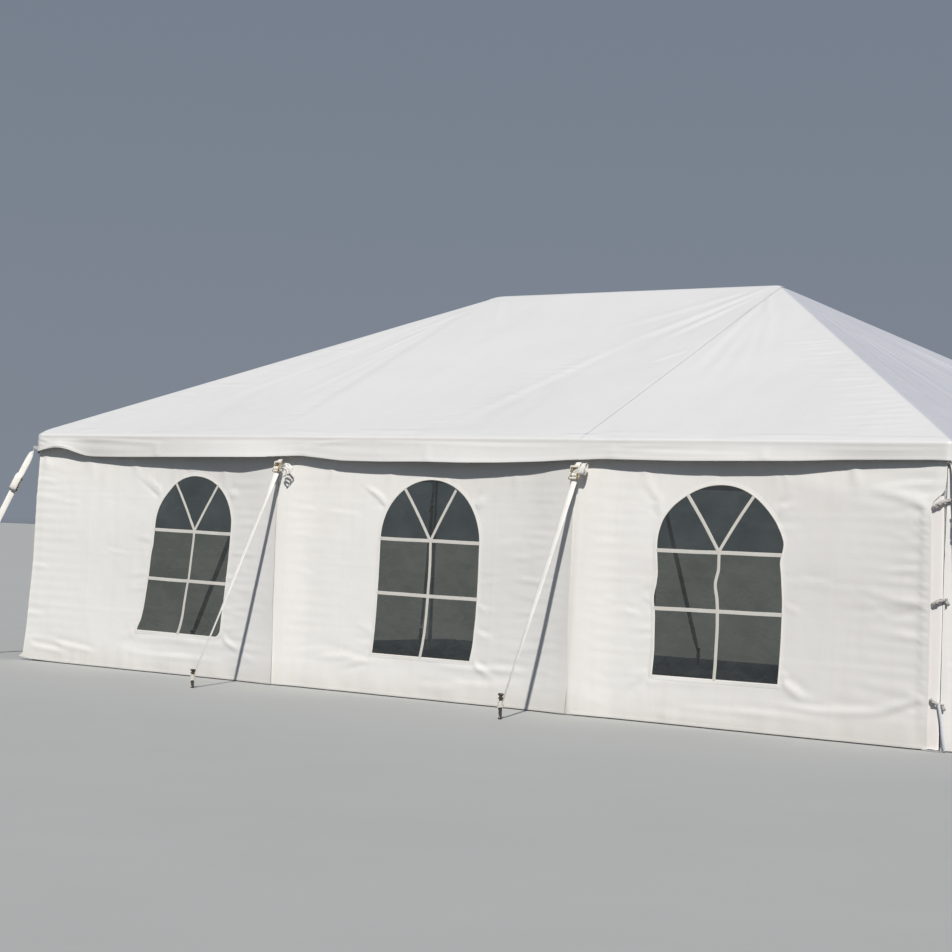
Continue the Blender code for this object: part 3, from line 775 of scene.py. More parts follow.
def canopy_height():
    """Height of the cloth over the whole plan grid, wrinkles included."""
    e = 0.012
    a = np.sqrt(GY ** 2 + e * e)
    b = np.abs(GX) - MID_X
    R = 0.5 * (a + b + np.sqrt((a - b) ** 2 + (2 * e) ** 2 * 0.8))
    R = np.where(b < -0.4, a, R)
    z = RIDGE_Z + ROOF_OFF - PITCH * R
    P = np.stack([GX.ravel(), GY.ravel()], 1)
    d = np.zeros(len(P))
    front = lambda x, v: (x, -v / 1.118)
    rnd = np.random.RandomState(11)

    # long tension folds from the right crown down across the middle bay
    crease(P, d, front(1.46, 0.06), front(0.67, 1.36), 0.040, 0.0075, 0.02,
           "lip", (0.08, 0.35), 0.8)
    crease(P, d, front(0.80, 1.10), front(0.11, 3.18), 0.055, 0.0045, -0.03,
           "lip", (0.3, 0.25), 0.4)
    crease(P, d, front(1.48, 0.16), front(0.98, 1.42), 0.036, 0.0065, 0.012,
           "lip", (0.08, 0.4), 0.6)
    crease(P, d, front(1.30, 0.12), front(0.20, 1.05), 0.040, 0.0040, 0.03,
           "lip", (0.12, 0.5), 0.8)
    crease(P, d, front(1.50, 1.58), front(1.22, 1.86), 0.030, 0.0045, 0,
           "lip", (0.2, 0.4))
    # short ones below the right crown, on the hip side
    crease(P, d, front(1.55, 0.22), front(2.03, 1.10), 0.030, 0.0050, -0.015,
           "lip", (0.1, 0.5), 0.6)
    crease(P, d, front(1.60, 0.34), front(1.86, 0.98), 0.024, 0.0040, 0.01,
           "lip", (0.15, 0.4), 0.4)
    crease(P, d, front(1.70, 0.30), front(2.30, 1.00), 0.022, 0.0035, 0.0,
           "lip", (0.15, 0.4), 0.4)
    # from the left crown, softer
    crease(P, d, front(-1.44, 0.08), front(-0.72, 1.30), 0.045, 0.0042, -0.02,
           "lip", (0.1, 0.5), 0.6)
    crease(P, d, front(-1.60, 0.30), front(-2.10, 1.25), 0.040, 0.0035, 0.01,
           "lip", (0.15, 0.5), 0.6)
    # soft valley beside the left rafter, crinkles near its foot
    crease(P, d, front(-1.66, 0.50), front(-1.66, 3.15), 0.085, -0.0055, 0.0,
           "ridge", (0.12, 0.15), 0.3)
    for k in range(9):
        v = 2.35 + 0.095 * k + rnd.uniform(-0.02, 0.02)
        x0 = -1.56 + rnd.uniform(-0.02, 0.03)
        crease(P, d, front(x0, v), front(x0 - rnd.uniform(0.16, 0.40),
                                         v + rnd.uniform(-0.05, 0.07)),
               0.016, 0.0028, 0, "lip", (0.15, 0.5))
    # clusters of short level wrinkles along the long fold of the middle bay
    for k in range(26):
        s = rnd.uniform(0, 1)
        cx = 0.62 - 0.62 * s + rnd.normal(0, 0.09)
        v = 1.45 + 1.65 * s + rnd.normal(0, 0.05)
        half = rnd.uniform(0.07, 0.19)
        crease(P, d, front(cx - half, v + rnd.uniform(-0.02, 0.02)),
               front(cx + half, v + rnd.uniform(-0.02, 0.02)),
               rnd.uniform(0.013, 0.022), rnd.uniform(0.0016, 0.0030),
               rnd.uniform(-0.012, 0.012), "lip", (0.3, 0.4))
    # fans of level wrinkles leaving each hip over its lower half
    for sx, sy, count, seed in ((1, -1, 22, 3), (-1, -1, 12, 5), (1, 1, 16, 7),
                                (-1, 1, 14, 9)):
        rs = np.random.RandomState(seed)
        for k in range(count):
            s = 0.42 + 0.56 * (k + rs.uniform(-0.3, 0.3)) / count
            hx, hy = MID_X + (LEG_X - MID_X) * s, LEG_Y * s
            long = rs.uniform(0.25, 0.75) * (0.7 + 0.6 * s)
            a = (sx * (hx - 0.03), sy * hy)
            b = (sx * (hx - 0.03 - long), sy * (hy + rs.uniform(-0.01, 0.10)))
            crease(P, d, a, b, rs.uniform(0.012, 0.020),
                   rs.uniform(0.0020, 0.0042), rs.uniform(-0.02, 0.02), "lip",
                   (0.12, 0.7), 0.8)
            if k % 2 == 0:
                a = (sx * hx, sy * (hy - 0.03))
                b = (sx * (hx + rs.uniform(-0.02, 0.12)),
                     sy * (hy - 0.03 - long))
                crease(P, d, a, b, rs.uniform(0.014, 0.022),
                       rs.uniform(0.0018, 0.0035), rs.uniform(-0.02, 0.02),
                       "lip", (0.12, 0.7), 0.8)
    # long straight wrinkles on the end planes, between hip and end rafter
    for sx, seed in ((1, 21), (-1, 23)):
        rs = np.random.RandomState(seed)
        for k in range(13):
            f = rs.uniform(-0.80, 0.80)
            s0, s1 = rs.uniform(0.04, 0.35), rs.uniform(0.55, 0.97)
            p = lambda s, g: (sx * (MID_X + (EDGE_X - MID_X) * s),
                              (EDGE_Y * s) * g)
            crease(P, d, p(s0, f), p(s1, f + rs.uniform(-0.05, 0.05)),
                   rs.uniform(0.022, 0.045), rs.uniform(0.0022, 0.0048),
                   rs.uniform(-0.03, 0.03), "lip", (0.2, 0.35), 0.9)
    # the same kind on all side planes, from crown towards the eave
    for sx, sy, seed in ((1, -1, 31), (-1, -1, 33), (1, 1, 35), (-1, 1, 37)):
        rs = np.random.RandomState(seed)
        for k in range(8):
            g = rs.uniform(0.12, 0.88)
            s0, s1 = rs.uniform(0.05, 0.3), rs.uniform(0.45, 0.9)
            p = lambda s, g: (sx * (MID_X + (EDGE_X - MID_X) * s * g),
                              sy * EDGE_Y * s)
            crease(P, d, p(s0, g), p(s1, g + rs.uniform(-0.04, 0.04)),
                   rs.uniform(0.025, 0.05), rs.uniform(0.0015, 0.0034),
                   rs.uniform(-0.03, 0.03), "lip", (0.25, 0.4), 0.9)
    for sx, sy, seed in ((-1, 1, 43), (1, 1, 45)):
        rs = np.random.RandomState(seed)
        for k in range(6):
            g = rs.uniform(0.1, 1.1)
            crease(P, d, (sx * (MID_X - 0.05), sy * 0.08),
                   (sx * (MID_X - 0.1 - g * 1.1), sy * rs.uniform(0.8, 1.9)),
                   rs.uniform(0.03, 0.045), rs.uniform(0.003, 0.0055),
                   rs.uniform(-0.03, 0.03), "lip", (0.1, 0.5), 0.8)
    # soft level folds a hand above the eave roll
    for side, seed in (("f", 51), ("b", 53), ("l", 55), ("r", 57)):
        rs = np.random.RandomState(seed)
        long = EDGE_X if side in "fb" else EDGE_Y
        for k in range(26 if side in "fb" else 17):
            c = rs.uniform(-long + 0.3, long - 0.3)
            half = rs.uniform(0.18, 0.62)
            dist = rs.uniform(0.028, 0.13)
            rise = rs.uniform(-0.02, 0.02)
            if side in "fb":
                s = -1 if side == "f" else 1
                a, b = ((c - half, s * (EDGE_Y - dist)),
                        (c + half, s * (EDGE_Y - dist - rise)))
            else:
                s = -1 if side == "l" else 1
                a, b = ((s * (EDGE_X - dist), c - half),
                        (s * (EDGE_X - dist - rise), c + half))
            crease(P, d, a, b, rs.uniform(0.014, 0.024),
                   rs.uniform(0.0025, 0.0055), rs.uniform(-0.015, 0.015),
                   "lip", (0.35, 0.35))
    d = d.reshape(GX.shape)
    d += 0.0030 * Ripple(61)(GX * 1.7, GY * 1.7)
    d += 0.0012 * Ripple(62)(GX * 5.5 + 3, GY * 5.5)
    # nothing dips into a tube or a fitting: near them only ridges stand
    near = 1 - smooth(0.05, 0.16, LINE_GAP)
    d = d - near * np.minimum(d, 0) * 0.85
    dip = 0.030 * SLACK
    return z + d - dip


CANOPY_Z = canopy_height()

# the rolled eave and the valance, as (out of the eave edge, height, share of the hang). The
# rows at the top bend the roof's slope round into the hang.
EAVE_TOP = RIDGE_Z + ROOF_OFF - PITCH * EDGE_Y
HEM_LOW = 1.9305
ROLL = 0.024
SKIRT = []
slope = math.atan(PITCH)
for k in range(1, 8):
    a = slope + (math.pi / 2 - slope) * k / 7
    SKIRT.append((-ROLL * (1 - math.sin(a)),
                  EAVE_TOP - ROLL * math.tan((math.pi / 2 - slope) / 2)
                  + ROLL * math.cos(a), 0))
SKIRT += [(0.0002, EAVE_TOP - 0.0190, 0.0),
          (0.0000, EAVE_TOP - 0.0235, 0.02), (-0.0004, EAVE_TOP - 0.031, 0.05)]
fall = EAVE_TOP - 0.031 - (HEM_LOW + 0.026)
for k in range(1, 9):
    SKIRT.append((-0.0004 + 0.0004 * k / 8, EAVE_TOP - 0.031 - fall * k / 8,
                  0.05 + 0.80 * k / 8))
SKIRT += [(0.0002, HEM_LOW + 0.0240, 0.87), (0.0006, HEM_LOW + 0.0190, 0.90),
          (0.0010, HEM_LOW + 0.0120, 0.94), (0.0010, HEM_LOW + 0.0050, 0.98),
          (0.0004, HEM_LOW + 0.0010, 1.0), (-0.0008, HEM_LOW, 1.0),
          (-0.0024, HEM_LOW + 0.0015, 1.0), (-0.0030, HEM_LOW + 0.0080, 0.96),
          (-0.0030, HEM_LOW + 0.0180, 0.90), (-0.0026, HEM_LOW + 0.0240, 0.87)]
SKIRT = np.array(SKIRT)


def bay_puff(s, posts, seed):
    """How far the valance's hem stands out along a side, and how much lower
    it hangs: most in mid bay, held in at the posts."""
    s = np.asarray(s, float)
    rs = np.random.RandomState(seed)
    out, drop = np.zeros_like(s), np.zeros_like(s)
    for a, b in zip(posts[:-1], posts[1:]):
        t = (s - a) / (b - a)
        m = (t >= 0) & (t <= 1)
        lean = rs.uniform(0.85, 1.15)
        out[m] += (np.sin(math.pi * t[m] ** lean) ** 0.75) * rs.uniform(0.040, 0.052)
        drop[m] += (np.sin(math.pi * t[m] ** lean) ** 0.8) * rs.uniform(0.020, 0.027)
    out += 0.008 * Ripple(seed + 1)(s * 1.6, 0.5) + 0.003 * Ripple(seed + 2)(s * 5.2, 0.5)
    drop += 0.004 * Ripple(seed + 3)(s * 2.3, 0.5)
    return out, drop


def valance_relief(s, z, seed, extra=()):
    """Soft folds on one valance side, over (along, height)."""
    P = np.stack([s, z], 1)
    d = np.zeros(len(P))
    rs = np.random.RandomState(seed)
    lo, hi = s.min(), s.max()
    for k in range(int((hi - lo) * 2.6)):
        c = rs.uniform(lo + 0.2, hi - 0.2)
        half = rs.uniform(0.2, 0.75)
        zz = rs.uniform(1.965, 2.075)
        crease(P, d, (c - half, zz + rs.uniform(-0.012, 0.012)),
               (c + half, zz + rs.uniform(-0.012, 0.012)),
               rs.uniform(0.012, 0.026), rs.uniform(-0.0045, 0.0055),
               rs.uniform(-0.012, 0.012), "fold", (0.4, 0.4))
    for k in range(int((hi - lo) * 1.6)):
        c = rs.uniform(lo + 0.05, hi - 0.05)
        crease(P, d, (c, 2.07), (c + rs.uniform(-0.07, 0.07), 1.925),
               rs.uniform(0.018, 0.05), rs.uniform(-0.004, 0.005), 0, "ridge",
               (0.5, 0.05), 0.4)
    for e in extra:
        crease(P, d, *e)
    return d


# the front hem: along, height, how far out of the eave edge
FRONT_HEM = np.array([
    (-4.640, 1.940, 0.004), (-4.560, 1.936, 0.006), (-4.500, 1.948, 0.012),
    (-4.407, 1.964, 0.022), (-4.300, 1.978, 0.030), (-4.205, 1.982, 0.034),
    (-4.120, 1.974, 0.030), (-4.003, 1.945, 0.016), (-3.920, 1.918, 0.000),
    (-3.822, 1.904, -0.014), (-3.650, 1.9025, -0.008), (-3.408, 1.9032, 0.003),
    (-2.893, 1.9088, 0.013), (-2.380, 1.9136, 0.037), (-1.876, 1.9179, 0.070),
    (-1.634, 1.9215, 0.057), (-1.238, 1.9366, 0.020), (-1.020, 1.9200, 0.020),
    (-0.794, 1.9003, 0.022), (-0.362, 1.8974, 0.028), (0.063, 1.9025, 0.040),
    (0.477, 1.8993, 0.054), (0.858, 1.9053, 0.040), (1.229, 1.9187, 0.027),
    (1.520, 1.9360, 0.020), (1.775, 1.9493, 0.017), (2.134, 1.9461, 0.020),
    (2.485, 1.9430, 0.025), (2.829, 1.9469, 0.035), (3.156, 1.9515, 0.030),
    (3.473, 1.9561, 0.021), (3.776, 1.9682, 0.000), (4.080, 1.9724, -0.005),
    (4.308, 1.9750, 0.000), (4.492, 1.9774, 0.000), (4.640, 1.9720, 0.000)])


def along_table(s, table, column):
    """A table's column at s, its corners eased."""
    s = np.asarray(s, float)
    return sum(np.interp(s + e, table[:, 0], table[:, column]) * w
               for e, w in ((-0.06, 0.2), (-0.03, 0.2), (0.0, 0.2),
                            (0.03, 0.2), (0.06, 0.2)))


def round_plan(x, y, small=0.05, large=0.13):
    """Takes the sharp corners off the canopy in plan; the front left one is
    pulled in and rounder than the rest."""
    r = np.where((x < 0) & (y < 0), large, small)
    p = np.abs(x) - (EDGE_X - r)
    q = np.abs(y) - (EDGE_Y - r)
    m = (p > 0) & (q > 0)
    k = np.where(m, np.maximum(p, q) / np.maximum(np.hypot(p, q), 1e-9), 1.0)
    nx = np.where(m, (EDGE_X - r) + p * k, np.abs(x)) * np.sign(x)
    ny = np.where(m, (EDGE_Y - r) + q * k, np.abs(y)) * np.sign(y)
    rim = np.minimum(EDGE_Y - np.abs(y), EDGE_X - np.abs(x))
    w = (np.exp(-(((x + EDGE_X) / 0.34) ** 2 + ((y + EDGE_Y) / 0.34) ** 2))
         * (1 - smooth(0.0, 0.09, rim)))
    return nx + 0.025 * w, ny + 0.008 * w


FRONT_FOLDS = [((-4.05, 2.083), (-2.70, 2.036), 0.016, 0.0075, 0.0, "fold",
                (0.3, 0.3)),
               ((-4.42, 1.945), (-4.02, 1.958), 0.010, 0.0060, 0.0, "lip",
                (0.2, 0.3)),
               ((-1.15, 2.040), (-0.55, 2.088), 0.014, 0.0070, 0.01, "fold",
                (0.3, 0.3)),
               ((-0.62, 2.088), (1.25, 2.052), 0.016, 0.0065, -0.006, "fold",
                (0.2, 0.3)),
               ((-4.60, 2.085), (-4.30, 2.02), 0.012, 0.0060, 0.0, "lip",
                (0.1, 0.4)),
               ((-4.61, 2.05), (-4.38, 1.97), 0.010, 0.0050, 0.0, "lip",
                (0.1, 0.4)),
               ((-4.58, 2.07), (-4.40, 2.075), 0.008, 0.0040, 0.0, "lip",
                (0.2, 0.4))]
SIDE_POSTS = [-EDGE_X, -MID_X, MID_X, EDGE_X]
END_POSTS = [-EDGE_Y, 0.0, EDGE_Y]
SIDE_OF = {"front": (0, -1, SIDE_POSTS, 71), "back": (0, 1, SIDE_POSTS, 81),
           "left": (-1, 0, END_POSTS, 91), "right": (1, 0, END_POSTS, 101)}


def section(name, i0, i1, lift, replaced, left_hem, right_hem):
    """One laced section of the canopy: roof, rolled eave and valance in one
    sheet, over the grid columns i0 to i1."""
    cols = np.arange(i0, i1 + 1)
    ny = len(YS)
    X, Y = GX[cols], GY[cols]
    Z = CANOPY_Z[cols] + lift
    # the outermost grid lines turn into the start of the roll
    roof = np.stack([X, Y, Z], -1)
    pull = 0.014
    roof[..., 1] = np.clip(roof[..., 1], -EDGE_Y + pull, EDGE_Y - pull)
    roof[..., 0] = np.clip(roof[..., 0], -EDGE_X + pull, EDGE_X - pull)
    rim = np.minimum(EDGE_Y - np.abs(Y), EDGE_X - np.abs(X))
    k = 1 - smooth(0.0, 0.055, rim)
    target = EAVE_TOP + PITCH * np.maximum(rim, pull) + lift
    roof[..., 2] = roof[..., 2] * (1 - k) + target * k
    # folded edge of the section: slightly thicker over a hand's width
    for flag, column in ((left_hem, 0), (right_hem, -1)):
        if flag:
            edge = X[column, 0]
            roof[..., 2] += 0.0012 * (np.abs(X - edge) < 0.045)
    nx = len(cols)
    rounded_roof = roof.copy()
    rounded_roof[..., 0], rounded_roof[..., 1] = round_plan(roof[..., 0],
                                                            roof[..., 1])
    verts = [rounded_roof.reshape(-1, 3)]
    idx = np.arange(nx * ny).reshape(nx, ny)
    tris = []
    a, b, c, d = idx[:-1, :-1], idx[1:, :-1], idx[1:, 1:], idx[:-1, 1:]
    cx, cy = (X[:-1, :-1] + X[1:, 1:]) / 2, (Y[:-1, :-1] + Y[1:, 1:]) / 2
    rising = (cx * cy) > 0        # diagonals follow the hips
    one = np.where(rising[..., None], np.stack([a, b, c], -1),
                   np.stack([a, b, d], -1))
    two = np.where(rising[..., None], np.stack([a, c, d], -1),
                   np.stack([b, c, d], -1))
    tris = [one.reshape(-1, 3), two.reshape(-1, 3)]
    # the rim in order, for the skirt
    rim_ids, kinds = [], []
    full_left, full_right = i0 == 0, i1 == len(XS) - 1
    if full_left:
        for i in range(nx - 1, 0, -1):
            rim_ids.append(idx[i, 0]); kinds.append((0, -1))
        for j in range(ny):
            rim_ids.append(idx[0, j])
            kinds.append((-1, -1 if j == 0 else (1 if j == ny - 1 else 0)))
        for i in range(1, nx):
            rim_ids.append(idx[i, -1]); kinds.append((0, 1))
        runs = [(rim_ids, kinds)]
    elif full_right:
        for i in range(0, nx - 1):
            rim_ids.append(idx[i, 0]); kinds.append((0, -1))
        for j in range(ny):
            rim_ids.append(idx[-1, j])
            kinds.append((1, -1 if j == 0 else (1 if j == ny - 1 else 0)))
        for i in range(nx - 2, -1, -1):
            rim_ids.append(idx[i, -1]); kinds.append((0, 1))
        runs = [(rim_ids, kinds)]
    else:
        runs = [([idx[i, 0] for i in range(nx)], [(0, -1)] * nx),
                ([idx[i, -1] for i in range(nx)], [(0, 1)] * nx)]
    start = nx * ny
    quads, tones = [], []
    flat_roof = roof.reshape(-1, 3)
    for ids, kinds in runs:
        ids, kinds = np.array(ids), np.array(kinds)
        base = flat_roof[ids]
        n, m = len(ids), len(SKIRT)
        bx = np.where(kinds[:, 0] != 0, kinds[:, 0] * EDGE_X, base[:, 0])
        by = np.where(kinds[:, 1] != 0, kinds[:, 1] * EDGE_Y, base[:, 1])
        out = np.zeros((n, m))
        z = np.repeat(SKIRT[None, :, 1], n, 0) + lift
        # each side's own puff, joined smoothly where two sides meet
        for tag, (sx, sy, posts, seed) in SIDE_OF.items():
            on = (kinds[:, 0] == sx) if sx else (kinds[:, 1] == sy)
            if sx == 0:
                s = bx
            else:
                s = by
            if not on.any():
                continue
            puff, drop = bay_puff(s, posts, seed)
            if tag == "front":
                puff = along_table(s, FRONT_HEM, 2)
                drop = HEM_LOW - along_table(s, FRONT_HEM, 1)
            hang = SKIRT[:, 2]
            o = puff[:, None] * hang[None] ** 1.2
            relief = valance_relief(np.repeat(s, m), z.ravel(), seed + 5,
                                    FRONT_FOLDS if tag == "front" else ()
                                    ).reshape(n, m)
            calm = 0.85 if tag == "front" else 0.55
            fade = smooth(0.0, 0.12, hang) * (1 - calm * smooth(0.85, 1.0, hang))
            o = o + relief * fade[None]
            long = posts[-1]
            tame = smooth(0.0, 0.10, long - np.abs(s))
            corner = (kinds[:, 0] != 0) & (kinds[:, 1] != 0)
            o = np.where(corner[:, None], o * 0.5, o * (0.35 + 0.65 * tame)[:, None])
            out = np.where(on[:, None], np.maximum(out, 0) * 0 + o, out)
            z = np.where(on[:, None], z - (drop * 1.0)[:, None]
                         * smooth(0.15, 1.0, hang)[None] *
                         (0.5 if False else 1.0), z)
        off = SKIRT[None, :, 0] + out + lift
        px = bx[:, None] + kinds[:, :1] * off
        py = by[:, None] + kinds[:, 1:] * off
        px, py = round_plan(px, py)
        # the middle section's skirt stays outside the ends' at the overlap
        verts.append(np.stack([px, py, z], -1).reshape(-1, 3))
        g = np.hstack([ids[:, None], start + np.arange(n * m).reshape(n, m)])
        q = np.stack([g[:-1, :-1], g[1:, :-1], g[1:, 1:], g[:-1, 1:]], -1)
        quads.append(q.reshape(-1, 4))
        tones.append(np.tile(np.arange(m) >= 5, n - 1).astype(int))
        start += n * m
    verts = np.vstack(verts)
    quads = np.vstack(quads)
    tris = np.vstack(tris)
    ob = build(name, verts, [tris, quads], [ROOF, VALANCE], slot="roof_vinyl",
               slots_of=np.concatenate([np.zeros(len(tris), int)] + tones))
    bm = bmesh.new()
    bm.from_mesh(ob.data)
    bmesh.ops.recalc_face_normals(bm, faces=bm.faces)
    up_sum = sum(f.normal.z * f.calc_area() for f in bm.faces)
    if up_sum < 0:
        bmesh.ops.reverse_faces(bm, faces=bm.faces)
    bm.to_mesh(ob.data)
    bm.free()
    if replaced:
        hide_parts(*replaced)
    long = XS[cols[-1]] - XS[cols[0]]
    if full_left or full_right:
        flat = (7.30, long * 1.118 + 0.20)
        area = 7.30 * flat[1] * 0.93
        held_by = ["hip_front_" + name.split("_")[1],
                   "hip_back_" + name.split("_")[1]]
    else:
        flat, area = (7.30, long), 7.30 * long
        held_by = ["ridge_beam"]
    print("canopy", name, "flat", [round(float(x), 3) for x in flat],
          "area", round(float(area), 2), "mesh",
          round(sum(p.area for p in ob.data.polygons), 2), held_by)
    return ob


LAP = 3
canopy_left = section("canopy_left", 0, I_LEFT + 1, 0.0,
                      ("roof_left_end", "valance_left"), False, False)
canopy_right = section("canopy_right", I_RIGHT - 1, len(XS) - 1, 0.0,
                       ("roof_right_end", "valance_right"), False, False)
canopy_middle = section("canopy_middle", I_LEFT - LAP, I_RIGHT + LAP, 0.0026,
                        ("roof_front", "roof_back", "valance_front",
                         "valance_back"), True, True)

# ---------------------------------------------------------------------- walls
WIN_HALF, SILL, SPRING = 0.505, 0.350, 1.265


def arch_line(centre, step=0.022, grow=0.0, soft=0.0):
    """Outline of an arched window in (along, height), counter-clockwise.
    soft rounds the lower right corner."""
    r = WIN_HALF + grow
    lo = SILL - grow
    e = soft + grow if soft else 0.0
    n = int(round((2 * r - e) / step))
    pts = [(centre - r + (2 * r - e) * i / n, lo) for i in range(n)]
    if e:
        n = max(4, int(round(0.5 * math.pi * e / step)))
        pts += [(centre + r - e + e * math.sin(0.5 * math.pi * i / n),
                 lo + e - e * math.cos(0.5 * math.pi * i / n))
                for i in range(n)]
    n = int(round((SPRING - lo - e) / step))
    pts += [(centre + r, lo + e + (SPRING - lo - e) * i / n) for i in range(n)]
    n = int(round(math.pi * r / step))
    pts += [(centre + r * math.cos(math.pi * i / n),
             SPRING + r * math.sin(math.pi * i / n)) for i in range(n)]
    n = int(round((SPRING - lo) / step))
    pts += [(centre - r, SPRING - (SPRING - lo) * i / n) for i in range(n)]
    return np.array(pts)


def inside(points, centre, grow=0.0, soft=0.0):
    """Which points lie in the arched window."""
    s, z = points[:, 0] - centre, points[:, 1]
    r = WIN_HALF + grow
    e = soft + grow if soft else 0.0
    cut = ((s > r - e) & (z < SILL - grow + e)
           & (np.hypot(s - r + e, z - SILL + grow - e) > e)) if soft else False
    return np.where(z < SPRING, (np.abs(s) < r) & (z > SILL - grow) & ~np.asarray(cut),
                    s * s + (z - SPRING) ** 2 < r * r)


def window_gap(s, z, centre):
    """Signed distance to the window's edge, positive outside it."""
    u = np.abs(s - centre)
    low = np.maximum(u - WIN_HALF, SILL - z)
    both = np.hypot(np.maximum(u - WIN_HALF, 0), np.maximum(SILL - z, 0))
    low = np.where(low > 0, both, low)
    high = np.hypot(s - centre, z - SPRING) - WIN_HALF
    return np.where(z < SPRING, low, high)


# How the hanging cloth draws each front window out of true. left and right:
# (height, shift along); sill and top: rise at the left, right and crown; mid:
# the upright bar (height, along from the centre); bars: heights of the two
# level bars at the left and right; fan: foot and heads of the arch's bars.
DRAWN = {
    "front_left": dict(
        left=((0.35, -0.086), (0.364, -0.085), (0.454, -0.040), (0.557, -0.018),
              (0.66, -0.003), (0.763, 0.012), (0.866, 0.024), (0.969, 0.031),
              (1.071, 0.042), (1.123, 0.056), (1.277, 0.064), (1.48, 0.052),
              (1.62, 0.060), (1.77, 0.030)),
        right=((0.35, -0.080), (0.46, -0.073), (0.56, -0.068), (0.66, -0.058),
               (0.76, -0.049), (0.86, -0.043), (0.96, -0.035), (1.058, -0.027),
               (1.157, -0.021), (1.256, -0.019), (1.375, -0.008), (1.6, -0.002),
               (1.77, 0.0)),
        rise=(0.013, 0.007, -0.017),
        mid=((0.35, -0.092), (0.40, -0.064), (0.513, -0.036), (0.635, -0.023),
             (0.776, -0.004), (0.848, 0.012), (0.989, 0.024), (1.191, 0.046),
             (1.28, 0.047)),
        bars=((1.266, 1.254), (0.830, 0.821)),
        fan=((0.050, 1.268), (-0.217, 1.675), (0.292, 1.670))),
    "front_middle": dict(
        left=((0.335, -0.021), (0.426, -0.012), (0.531, -0.005), (0.687, 0.001),
              (0.948, 0.005), (1.276, 0.008), (1.5, 0.002), (1.77, 0.0)),
        right=((0.335, -0.036), (0.409, -0.021), (0.49, -0.008), (0.591, -0.003),
               (0.692, 0.005), (0.843, 0.009), (0.994, 0.011), (1.269, 0.009),
               (1.5, 0.0), (1.77, 0.0)),
        rise=(-0.014, -0.015, -0.003),
        mid=((0.335, -0.024), (0.407, -0.009), (0.531, 0.007), (0.664, 0.016),
             (0.859, 0.021), (0.972, 0.026), (1.126, 0.028), (1.28, 0.024)),
        bars=((1.276, 1.269), (0.833, 0.826)),
        fan=((0.022, 1.270), (-0.269, 1.683), (0.246, 1.679))),
    "front_right": dict(
        left=((0.35, -0.023), (0.432, -0.017), (0.536, -0.013), (0.692, -0.018),
              (0.796, -0.021), (0.84, -0.026), (0.878, -0.035), (0.93, -0.040),
              (0.975, -0.033), (1.025, -0.020), (1.109, -0.013), (1.161, -0.017),
              (1.28, -0.028), (1.40, -0.043), (1.51, -0.055), (1.61, -0.050),
              (1.77, -0.012)),
        right=((0.36, 0.029), (0.506, 0.034), (0.656, 0.037), (0.856, 0.036),
               (0.956, 0.034), (1.055, 0.025), (1.155, 0.015), (1.205, 0.006),
               (1.235, 0.003), (1.262, 0.008), (1.295, 0.018), (1.366, 0.038),
               (1.435, 0.030), (1.534, 0.017), (1.62, 0.006), (1.77, 0.0)),
        rise=(0.003, 0.009, 0.009),
        mid=((0.35, 0.007), (0.438, 0.012), (0.571, 0.012), (0.724, 0.013),
             (0.867, 0.008), (0.958, -0.002), (1.0, -0.014), (1.049, -0.021),
             (1.09, -0.014), (1.152, 0.004), (1.28, 0.002)),
        bars=((1.280, 1.283), (0.849, 0.856)),
        fan=((-0.002, 1.286), (-0.289, 1.693), (0.259, 1.695)))}
# the free end of the left wall, and the tied end of the right one
FREE_END = ((0.0, -0.030), (0.088, -0.034), (0.181, -0.028), (0.555, -0.013),
            (0.929, 0.013), (1.49, 0.020), (1.90, 0.037), (2.05, 0.040))
TIED_END = ((0.0, 0.016), (0.30, 0.012), (0.983, 0.005), (1.50, -0.010),
            (1.64, -0.015), (1.695, -0.011), (1.725, 0.027), (1.75, 0.068),
            (1.81, 0.081), (1.91, 0.086), (2.05, 0.088))
LAP_ALONG = {"front_left": ((0.0, 0.080), (0.07, 0.0765), (0.71, 0.0405),
                            (1.30, 0.020), (1.80, 0.006), (1.90, 0.0)),
             "front_middle": ((0.0, 0.033), (0.05, 0.0345), (0.20, 0.0415),
                              (0.37, 0.0305), (0.72, 0.0155), (1.30, 0.008),
                              (1.80, 0.004), (1.90, 0.0))}


def eased(z, table):
    """A table of (at, value) read at z, its corners eased a little."""
    t = np.array(table)
    return sum(np.interp(z + e, t[:, 0], t[:, 1]) for e in
               (-0.018, 0.0, 0.018)) / 3.0


